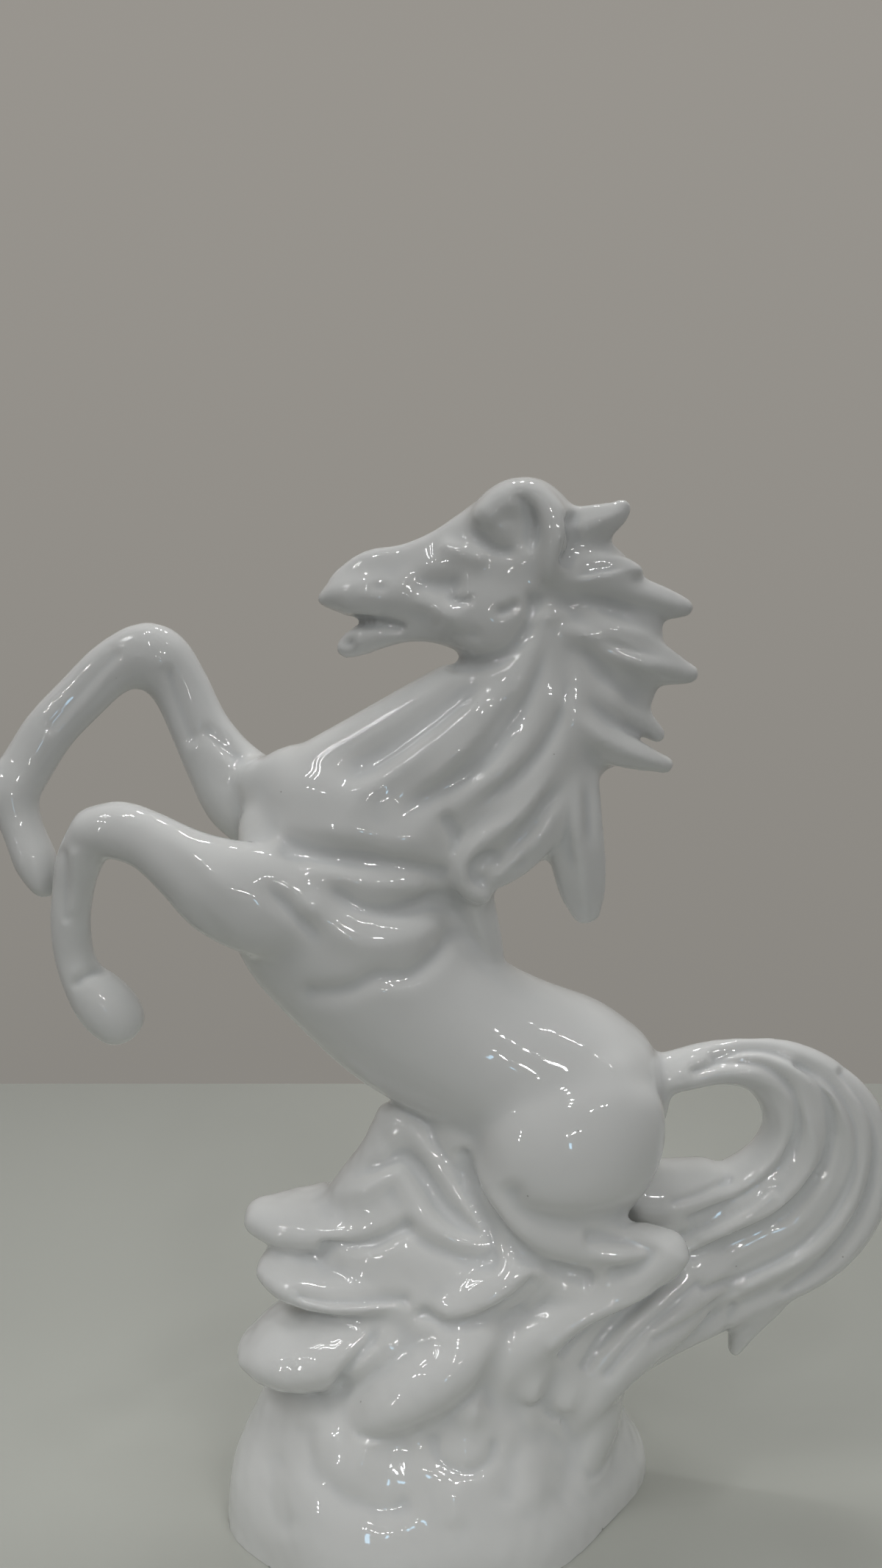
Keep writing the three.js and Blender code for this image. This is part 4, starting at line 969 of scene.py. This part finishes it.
@dataclass
class Figurine:
    """The whole figurine: it lutes the rolls, fettles and tools the skin, and parts it into shells.

    The hollow is given by height and distance in from the rim. The faces of the foot ring and of the hollow
    look at two points on the middle line, `ring_looks` and `hollow_looks` millimetres up.
    """

    eye: Eye = field(default_factory=Eye)
    parts: list[Sculpture] = field(default_factory=lambda: [
        Body(), Head(), Forelegs(), HindLegs(), Mane(), Tail(), Rock()])
    fettling: Fettling = field(default_factory=Fettling)
    shift: Triple = SHIFT
    voxel: float = FINE_VOXEL
    wall: float = 0.5
    hollow: Sequence[Point] = ((0.0, 5.5), (4.0, 5.5), (12.0, 7.0), (22.0, 12.0), (29.0, 20.0))
    ring_looks: float = -40
    hollow_looks: float = 10

    def lute(self) -> tuple[bpy.types.Object, BVHTree, list[int], list[str]]:
        """Roll out every piece and join the rolls into one skin, cut flat where it stands.

        Returns:
            The skin, a tree of the rolls' faces, the roll of each of those faces, and the rolls' pieces.
        """
        balls, points, faces, roll_of, names = [], [], [], [], []
        for part in self.parts:
            for roll in part.rolls():
                ball = roll.build()
                base = len(points)
                points += [vertex.co / MM for vertex in ball.data.vertices]
                faces += [tuple(base + index for index in face.vertices) for face in ball.data.polygons]
                roll_of += [len(names)] * len(ball.data.polygons)
                names.append(roll.node)
                balls.append(ball)
        tree = BVHTree.FromPolygons(points, faces)
        select_only(balls)
        skin = balls[0]
        bpy.ops.object.join()
        remesh = skin.modifiers.new("luting", "REMESH")
        remesh.mode = "VOXEL"
        remesh.voxel_size = self.voxel * MM
        bpy.ops.object.modifier_apply(modifier=remesh.name)
        bpy.ops.object.mode_set(mode="EDIT")
        bpy.ops.mesh.select_all(action="SELECT")
        bpy.ops.mesh.bisect(plane_co=(0, 0, 0), plane_no=(0, 0, 1), clear_inner=True)
        bpy.ops.mesh.separate(type="LOOSE")
        bpy.ops.object.mode_set(mode="OBJECT")
        lumps = sorted(bpy.context.selected_objects, key=lambda lump: len(lump.data.vertices))
        for bubble in lumps[:-1]:
            bpy.data.objects.remove(bubble)
        return lumps[-1], tree, roll_of, names

    def shape(self, skin: bpy.types.Object, tree: BVHTree, roll_of: list[int], names: list[str]) -> np.ndarray:
        """Fettle and tool the skin.

        Args:
            skin: The luted skin.
            tree: The rolls' faces.
            roll_of: The roll of each face in the tree.
            names: The piece of each roll.

        Returns:
            The number of the piece that each face of the skin belongs to.
        """
        mesh = skin.data
        work = Skin.of(mesh)
        nodes = sorted(set(names))
        number = {name: index for index, name in enumerate(nodes)}
        nearest = [tree.find_nearest(Vector(point))[2] for point in work.points]
        label = np.array([number[names[roll_of[index]]] for index in nearest])
        label = self.tidy_labels(work, label, len(nodes))
        clay = {node: part.clay for part in self.parts for node in part.pieces()}
        kinds = np.array([clay[node].value for node in nodes])[label]
        owners = np.array(nodes)[label]
        how = self.fettling
        foot = np.clip(work.points[:, 2] / how.foot_rise, 0, 1)
        fixed = work.points[:, 2] < how.foot_level
        strands = np.char.endswith(owners, "strands") * how.strand_flesh
        strands += np.char.startswith(owners, "tail") * how.tail_flesh
        flesh, rock = (kinds == "flesh") + strands, (kinds == "rock").astype(float)
        body = work.spread(work.spread(flesh))
        evening = how.even_flesh * body + how.even_rock * rock
        filling = how.fill_least + how.fill_flesh * body + how.fill_rock * rock
        work.smooth(how.rough_rounds, how.rough * foot)
        work.smooth(self.rounds(how.even_rounds), evening * foot)
        work.smooth(self.rounds(how.fill_rounds), filling * foot, how.fill_creases)
        strokes = [stroke for part in self.parts for stroke in part.strokes()]
        work.tool(strokes, owners, self.eye)
        work.ripple(how.wave + how.rock_wave * work.spread(work.spread(rock)) * foot)
        work.smooth(how.last_rounds, how.last * foot)
        work.points[fixed, 2] = 0.0
        normals = work.normals()
        # How hollow the skin is at each point, spread out and kept on the mesh: the glaze is coloured darker there,
        # as pooled glaze and as painted shade in the creases.
        pull = np.einsum("ij,ij->i", work.spread(work.points) - work.points, normals)
        for _ in range(how.pool_shade_rounds):
            pull = work.spread(pull)
        pool_and_shade = np.clip(0.5 + pull * how.pool_shade_gain / self.voxel ** 2, 0, 1)
        mesh.vertices.foreach_set("co", ((work.points + np.array(self.shift)) * MM).ravel())
        mesh.attributes.new("skin_normal", "FLOAT_VECTOR", "POINT").data.foreach_set("vector", normals.ravel())
        mesh.attributes.new("glaze_pool_and_shade", "FLOAT", "POINT").data.foreach_set("value", pool_and_shade)
        mesh.update()
        votes = np.sort(label[work.corners], axis=1)
        return np.where(votes[:, 2] == votes[:, 3], votes[:, 3], votes[:, 1])

    def rounds(self, count: int) -> int:
        """Rounds of smoothing that reach as far on this skin as the given ones do on the fettling's grain."""
        return max(1, round(count * (self.fettling.grain / self.voxel) ** 2))

    @staticmethod
    def tidy_labels(work: Skin, label: np.ndarray, count: int) -> np.ndarray:
        """Straighten the seams between the pieces and give stray specks to the piece round them.

        Args:
            work: The skin.
            label: The number of the piece at each point.
            count: The number of pieces.

        Returns:
            The tidied numbers.
        """
        neighbours = [[] for _ in label]
        for near, far in work.edges.tolist():
            neighbours[near].append(far)
            neighbours[far].append(near)
        for _ in range(3):
            share = np.eye(count)[label]
            for _ in range(4):
                share = work.spread(share)
            label = share.argmax(1)
        patches, seen = [], np.zeros(len(label), bool)
        for first in range(len(label)):
            if seen[first]:
                continue
            seen[first] = True
            patch = [first]
            for point in patch:
                for other in neighbours[point]:
                    if not seen[other] and label[other] == label[point]:
                        seen[other] = True
                        patch.append(other)
            patches.append(patch)
        largest = np.zeros(count, int)
        for patch in patches:
            largest[label[patch[0]]] = max(largest[label[patch[0]]], len(patch))
        for patch in sorted(patches, key=len):
            own = label[patch[0]]
            if len(patch) < largest[own]:
                rim = [label[other] for point in patch for other in neighbours[point] if label[other] != own]
                if rim:
                    label[patch] = np.bincount(rim).argmax()
        return label

    def part(self, skin: bpy.types.Object, pieces: np.ndarray, names: list[str]) -> list[bpy.types.Object]:
        """Part the skin into one closed shell for each node of the frame.

        Args:
            skin: The shaped skin.
            pieces: The number of the piece for each face.
            names: The names of the pieces in the order of their numbers.

        Returns:
            The shells.
        """
        mesh = skin.data
        mesh.materials.clear()
        for name in names:
            mesh.materials.append(bpy.data.materials.new(name))
        numbers = pieces.astype(np.int32)
        mesh.polygons.foreach_set("material_index", numbers)
        mesh.attributes.new("piece_number", "INT", "FACE").data.foreach_set("value", numbers)
        select_only([skin])
        bpy.ops.object.mode_set(mode="EDIT")
        bpy.ops.mesh.select_all(action="SELECT")
        bpy.ops.mesh.separate(type="MATERIAL")
        bpy.ops.object.mode_set(mode="OBJECT")
        shells = []
        for shell in list(bpy.context.selected_objects):
            name = names[shell.data.attributes["piece_number"].data[0].value]
            shell.name = shell.data.name = f"glazed_{name}"
            shell["stands_for"] = name
            outer = self.open_base(shell) if name == "rock_mound" else len(shell.data.vertices)
            self.thicken(shell)
            self.lay_normals(shell, outer)
            shells.append(shell)
        return shells

    def thicken(self, shell: bpy.types.Object) -> None:
        """Give a shell its wall, inwards from the skin."""
        select_only([shell])
        wall = shell.modifiers.new("wall", "SOLIDIFY")
        wall.thickness = self.wall * MM
        wall.offset = -1
        wall.use_rim = True
        bpy.ops.object.modifier_apply(modifier=wall.name)

    def open_base(self, shell: bpy.types.Object) -> int:
        """Turn the mound's rim in to a flat foot ring and on up into the hollow.

        Args:
            shell: The mound's part of the skin, open below.

        Returns:
            How many points the skin had before.
        """
        work = bmesh.new()
        work.from_mesh(shell.data)
        count = len(work.verts)
        low = self.fettling.foot_level * MM
        edges = [edge for edge in work.edges if edge.is_boundary and max(v.co.z for v in edge.verts) < low]
        axis = Vector((self.shift[0] * MM, 0.0, 0.0))
        before = 0.0
        for height, inset in self.hollow:
            made = bmesh.ops.extrude_edge_only(work, edges=edges)["geom"]
            rim = {item for item in made if isinstance(item, bmesh.types.BMVert)}
            walls = [item for item in made if isinstance(item, bmesh.types.BMFace)]
            for vert in rim:
                inward = axis - vert.co
                inward.z = 0
                vert.co += inward.normalized() * (inset - before) * MM
                vert.co.z = height * MM
            edges = [item for item in made if isinstance(item, bmesh.types.BMEdge) and rim.issuperset(item.verts)]
            before = inset
            if height == self.hollow[-1][0]:
                walls += bmesh.ops.contextual_create(work, geom=edges)["faces"]
            for wall in walls:
                wall.normal_update()
                inside = axis + Vector((0, 0, (self.ring_looks if height == 0 else self.hollow_looks) * MM))
                if wall.normal.dot(wall.calc_center_median() - inside) > 0:
                    wall.normal_flip()
        bmesh.ops.triangulate(work, faces=[face for face in work.faces if len(face.verts) > 4])
        work.to_mesh(shell.data)
        work.free()
        return count

    @staticmethod
    def lay_normals(shell: bpy.types.Object, outer: int) -> None:
        """Shade a shell with the normals of the whole skin, so that the glaze runs on over its seams.

        Args:
            shell: The shell.
            outer: How many of its first points lie on the skin.
        """
        mesh = shell.data
        for face in mesh.polygons:
            face.use_smooth = True
        own = read(mesh.vertices, "normal", 3)
        own[:outer] = read(mesh.attributes["skin_normal"].data, "vector", 3)[:outer]
        mesh.normals_split_custom_set_from_vertices(own.tolist())


class Wire:
    """The output of a shader node, with which sums are written as they are for numbers."""

    def __init__(self, graph: "Graph", socket: bpy.types.NodeSocket) -> None:
        """Keep the node tree and the socket."""
        self.graph = graph
        self.socket = socket

    def sum_of(self, operation: str, first: "Wire | float", second: "Wire | float") -> "Wire":
        """Add a Math node.

        Args:
            operation: The node's operation.
            first: Its first value.
            second: Its second value.

        Returns:
            The result.
        """
        return self.graph.node("Math", {"operation": operation}, {0: first, 1: second})

    def __add__(self, other: "Wire | float") -> "Wire":
        """The sum of two values."""
        return self.sum_of("ADD", self, other)

    __radd__ = __add__

    def __sub__(self, other: "Wire | float") -> "Wire":
        """This value less another."""
        return self.sum_of("SUBTRACT", self, other)

    def __rsub__(self, other: "Wire | float") -> "Wire":
        """Another value less this one."""
        return self.sum_of("SUBTRACT", other, self)

    def __mul__(self, other: "Wire | float") -> "Wire":
        """The product of two values."""
        return self.sum_of("MULTIPLY", self, other)

    __rmul__ = __mul__

    def clamped(self, low: float, high: float) -> "Wire":
        """Map a range of this value onto 0 to 1, and hold it there.

        Args:
            low: The value that becomes 0.
            high: The value that becomes 1.

        Returns:
            The mapped value.
        """
        return self.graph.node("MapRange", {"clamp": True}, {0: self, 1: low, 2: high, 3: 0.0, 4: 1.0})


class Graph:
    """The node tree of a finish."""

    def __init__(self, owner: bpy.types.Material | bpy.types.World) -> None:
        """Clear the node tree of a material or the world."""
        owner.use_nodes = True
        self.tree = owner.node_tree
        self.tree.nodes.clear()

    def node(self, kind: str, settings: dict, inputs: dict, output: int | str = 0) -> Wire:
        """Add any node.

        Args:
            kind: The node's type, without ShaderNode before it.
            settings: Its settings, which are set first.
            inputs: The values or wires of its sockets, by name or number.
            output: The output to return.

        Returns:
            That output.
        """
        made = self.tree.nodes.new(f"ShaderNode{kind}")
        for name, value in settings.items():
            setattr(made, name, value)
        for name, value in inputs.items():
            if isinstance(value, Wire):
                self.tree.links.new(value.socket, made.inputs[name])
            else:
                made.inputs[name].default_value = value
        return Wire(self, made.outputs[output] if made.outputs else None)


@dataclass(frozen=True)
class Glaze:
    """A clear glossy glaze over white porcelain: its colour, and the darker colour of its hollows, where the glaze
    has pooled and where shade is painted in the creases.

    Cloudy patches vary the tone, and small dark specks of dirt lie in it where the noise called rare is high.
    """

    name: str
    colour: Colour = (0.765, 0.77, 0.755, 1.0)
    # The darker bluish grey of the hollows: pooled glaze together with painted crease shade.
    pooled_and_shaded: Colour = (0.63, 0.65, 0.66, 1.0)
    roughness: float = 0.045
    ripple: float = 0.05
    coat: float = 0.6
    coat_roughness: float = 0.03
    ior: float = 1.52
    # How far the hollows are mixed towards that darker colour, as pooled glaze and painted crease shade.
    pool_and_shade_tint: float = 0.5
    cloud_scale: float = 45.0
    cloud_tint: float = 0.12
    speck_colour: Colour = (0.30, 0.28, 0.25, 1.0)
    speck_tint: float = 0.6
    speck_scale: float = 170.0
    speck_share: float = 0.028
    speck_edge: float = 0.02
    rare_scale: float = 60.0
    rare: tuple[float, float] = (0.62, 0.64)
    ripple_scale: float = 210.0
    ripple_height: float = 0.0004

    def tint(self, graph: "Graph", share: "Wire", base: "Wire | tuple", other: tuple) -> "Wire":
        """Mix a second colour into a first one by a varying share."""
        return graph.node("Mix", {"data_type": "RGBA"}, {0: share, 6: base, 7: other}, 2)

    def noise(self, graph: "Graph", place: "Wire", scale: float, detail: float) -> "Wire":
        """Soft noise over the object."""
        return graph.node("TexNoise", {}, {"Vector": place, "Scale": scale, "Detail": detail})

    def material(self) -> bpy.types.Material:
        """Mix the glaze."""
        made = bpy.data.materials.new(self.name)
        graph = Graph(made)
        place = graph.node("TexCoord", {}, {}, "Object")
        # Painted crease shade with the pooled glaze: the hollows are mixed towards the darker colour.
        pool_and_shade = graph.node("Attribute", {"attribute_name": "glaze_pool_and_shade"}, {}, "Fac").clamped(0.5, 1.0)
        cloud = self.noise(graph, place, self.cloud_scale, 2.0)
        tone = pool_and_shade * self.pool_and_shade_tint + cloud.clamped(0.35, 0.75) * self.cloud_tint
        colour = self.tint(graph, tone, self.colour, self.pooled_and_shaded)
        dots = graph.node("TexVoronoi", {}, {"Vector": place, "Scale": self.speck_scale}, "Distance")
        rare = self.noise(graph, place, self.rare_scale, 0.0)
        speck = (1.0 - dots.clamped(self.speck_share, self.speck_share + self.speck_edge)) * rare.clamped(*self.rare)
        colour = self.tint(graph, speck * self.speck_tint, colour, self.speck_colour)
        waves = self.noise(graph, place, self.ripple_scale, 1.0)
        bump = graph.node(
            "Bump", {}, {"Height": waves, "Strength": self.ripple, "Distance": self.ripple_height})
        surface = graph.node("BsdfPrincipled", {}, {
            "Base Color": colour, "Roughness": self.roughness, "IOR": self.ior, "Normal": bump,
            "Coat Weight": self.coat, "Coat Roughness": self.coat_roughness,
        })
        graph.node("OutputMaterial", {}, {"Surface": surface})
        return made


# What the lamps aim at, in metres: under the front of the base, and the middle of the horse.
LOW, MIDDLE = (-0.04, 0.0, -0.03), (0.02, 0.0, 0.10)


@dataclass(frozen=True)
class Bank:
    """A bank of like lamps that all aim at the figurine.

    The small bright ones show as rows of dots in the glaze, and the large soft ones only light it.
    """

    name: str
    place: Triple
    size: float
    power: float
    columns: int = 1
    rows: int = 1
    step: float = 0.1
    tall: float = 0.0
    shine: bool = True
    beam: float = 180.0
    aim: Triple = MIDDLE
    colour: Triple = (1.0, 1.0, 1.0)

    def hang(self) -> None:
        """Hang every lamp of the bank, in rows square to the way that it aims."""
        place, aim = Vector(self.place), Vector(self.aim)
        turn = (aim - place).to_track_quat("-Z", "Y")
        for row in range(self.rows):
            for column in range(self.columns):
                data = bpy.data.lights.new(f"{self.name}_{row}_{column}", "AREA")
                data.energy = self.power
                data.color = self.colour
                data.shape = "RECTANGLE" if self.tall else "DISK"
                data.size = self.size
                data.size_y = self.tall or self.size
                data.spread = math.radians(self.beam)
                lamp = bpy.data.objects.new(data.name, data)
                bpy.context.scene.collection.objects.link(lamp)
                lamp.visible_glossy = self.shine
                across, up = column - (self.columns - 1) / 2, row - (self.rows - 1) / 2
                lamp.location = place + turn @ Vector((across * self.step, up * self.step, 0.0))
                lamp.rotation_euler = (aim - lamp.location).to_track_quat("-Z", "Y").to_euler()


BANKS = (
    Bank("front_row", (-0.05, -0.82, 0.92), 0.028, 0.017, 1, 3, step=0.10, beam=50.0, aim=LOW),
    Bank("right_row", (0.36, -0.95, 0.62), 0.03, 0.016, 3, 1, step=0.09, beam=50.0, aim=LOW),
    Bank("left_strips", (-0.62, -0.33, 1.06), 0.013, 0.020, 3, 1, step=0.09, tall=0.22, beam=50.0, aim=LOW),
    Bank("left_row", (-0.72, -0.62, 0.82), 0.025, 0.010, 3, 1, step=0.10, beam=50.0, aim=LOW),
    Bank("over_row", (-0.15, -0.15, 1.15), 0.028, 0.013, 1, 3, step=0.11, beam=40.0, aim=LOW),
    Bank("high_row", (0.50, -0.45, 1.00), 0.016, 0.003, 1, 3, step=0.035, beam=50.0, aim=LOW),
    Bank("side_row", (-0.80, -0.85, 0.35), 0.03, 0.012, 1, 3, step=0.09, beam=50.0, aim=LOW),
    Bank("low_row", (0.14, -1.10, 0.30), 0.02, 0.0055, 3, 1, step=0.06, beam=50.0, aim=LOW),
    Bank("high_soft", (0.50, -0.45, 1.00), 0.5, 0.05, beam=50.0, aim=LOW, shine=False),
    Bank("over_soft", (-0.15, -0.15, 1.15), 0.5, 0.055, beam=40.0, aim=LOW, shine=False),
    Bank("left_soft", (-0.60, -0.40, 0.95), 0.5, 0.05, beam=30.0, aim=(-0.10, 0.0, 0.08), shine=False),
    Bank("right_soft", (0.45, -0.90, 0.60), 0.5, 0.13, beam=50.0, aim=LOW, shine=False),
    Bank("right_fill", (0.45, -0.90, 0.60), 0.5, 0.20, shine=False),
    Bank("rear_row", (0.10, 0.40, 1.05), 0.045, 0.25, 3, 1, step=0.13),
    Bank("rear_soft", (0.10, 0.40, 1.05), 0.5, 1.5, shine=False),
    Bank("left_back", (-0.70, 0.50, 0.80), 0.5, 1.8, shine=False),
    Bank("right_back", (0.70, 0.50, 0.80), 0.5, 1.9, shine=False),
    Bank("screen", (0.12, -1.00, 0.14), 0.035, 0.006, tall=0.07, beam=60.0, colour=(0.45, 0.75, 1.0)),
)


@dataclass
class Studio:
    """The table, the wall's colour, the lamps and the camera."""

    eye: Eye = field(default_factory=Eye)
    banks: Sequence[Bank] = BANKS
    table_half: float = 0.255
    table_colour: Colour = (0.478, 0.488, 0.446, 1.0)
    # The wall's colours below and above, and the heights of the way between them: painted shade that darkens the wall
    # towards the bottom.
    wall_shaded_low: Colour = (0.255, 0.243, 0.222, 1.0)
    wall_lit_high: Colour = (0.315, 0.298, 0.272, 1.0)
    wall_range: tuple[float, float] = (-0.35, 0.4)
    table_thick: float = 0.02
    table_drop: float = 0.0001
    table_roughness: float = 0.45
    light_colour: Colour = (0.97, 0.985, 1.0, 1.0)
    light: float = 0.03
    clip: tuple[float, float] = (0.01, 20.0)
    shift: Triple = SHIFT

    def table(self) -> bpy.types.Object:
        """Add the pale table top."""
        bpy.ops.mesh.primitive_cube_add(size=1.0)
        top = bpy.context.object
        top.name = "table_top"
        for vertex in top.data.vertices:
            vertex.co = (vertex.co.x * 2 * self.table_half, vertex.co.y * 2 * self.table_half,
                         (vertex.co.z - 0.5) * self.table_thick - self.table_drop)
        paint = bpy.data.materials.new("table_paint")
        graph = Graph(paint)
        surface = graph.node(
            "BsdfPrincipled", {}, {"Base Color": self.table_colour, "Roughness": self.table_roughness})
        graph.node("OutputMaterial", {}, {"Surface": surface})
        top.data.materials.append(paint)
        return top

    def wall(self) -> None:
        """Colour the world as the wall where it is seen, painted darker towards the bottom as shade, and as pale
        light where it lights the figurine.
        """
        world = bpy.data.worlds.new("studio")
        bpy.context.scene.world = world
        graph = Graph(world)
        camera, through, glossy = (
            graph.node("LightPath", {}, {}, f"Is {ray} Ray") for ray in ("Camera", "Transmission", "Glossy"))
        light = graph.node("Background", {}, {"Color": self.light_colour, "Strength": self.light})
        # Painted shade on the wall: its colour darkens as the view looks lower.
        way = graph.node("TexCoord", {}, {}, "Generated")
        rise = graph.node("SeparateXYZ", {}, {0: way}, "Z").clamped(*self.wall_range)
        tone = graph.node("Mix", {"data_type": "RGBA"}, {0: rise, 6: self.wall_shaded_low, 7: self.wall_lit_high}, 2)
        wall = graph.node("Background", {}, {"Color": tone, "Strength": 1.0})
        mixed = graph.node("MixShader", {}, {0: camera + through + glossy, 1: light, 2: wall})
        graph.node("OutputWorld", {}, {"Surface": mixed})

    def lamps(self) -> None:
        """Hang the banks of lamps."""
        for bank in self.banks:
            bank.hang()

    def camera(self) -> None:
        """Set the camera at the photograph's place and angle."""
        data = bpy.data.cameras.new("camera")
        data.sensor_width = self.eye.film
        data.lens = self.eye.focal / self.eye.height * self.eye.film
        camera = bpy.data.objects.new("camera", data)
        bpy.context.scene.collection.objects.link(camera)
        camera.location = (self.shift[0] * MM, (self.shift[1] - self.eye.back) * MM, self.eye.high * MM)
        camera.rotation_euler = (math.pi / 2 - self.eye.pitch, 0.0, 0.0)
        data.clip_start, data.clip_end = self.clip
        bpy.context.scene.camera = camera


SLOTS = {Clay.FLESH: "glazed_body", Clay.HAIR: "glazed_hair", Clay.ROCK: "glazed_base"}


def main() -> None:
    """Build the figurine and its studio."""
    figurine = Figurine(voxel=FINE_VOXEL)
    skin, tree, roll_of, names = figurine.lute()
    LOG.info("luted %d rolls: %d points", len(names), len(skin.data.vertices))
    pieces = figurine.shape(skin, tree, roll_of, names)
    shells = figurine.part(skin, pieces, sorted(set(names)))
    slots = {node: SLOTS[part.clay] for part in figurine.parts for node in part.pieces()}
    glazes = {name: Glaze(name).material() for name in SLOTS.values()}
    for shell in shells:
        node = shell["stands_for"]
        shell.data.materials.clear()
        shell.data.materials.append(glazes[slots[node]])
        shell.data.polygons.foreach_set("material_index", np.zeros(len(shell.data.polygons), np.int32))
        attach(shell, "root")
        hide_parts(node)
        LOG.info("%s: %d faces", shell.name, len(shell.data.polygons))
    studio = Studio()
    studio.table()
    studio.wall()
    studio.lamps()
    studio.camera()
    bpy.context.scene.view_settings.view_transform = "Standard"


if __name__ == "__main__":
    logging.basicConfig(level=logging.INFO)
    main()
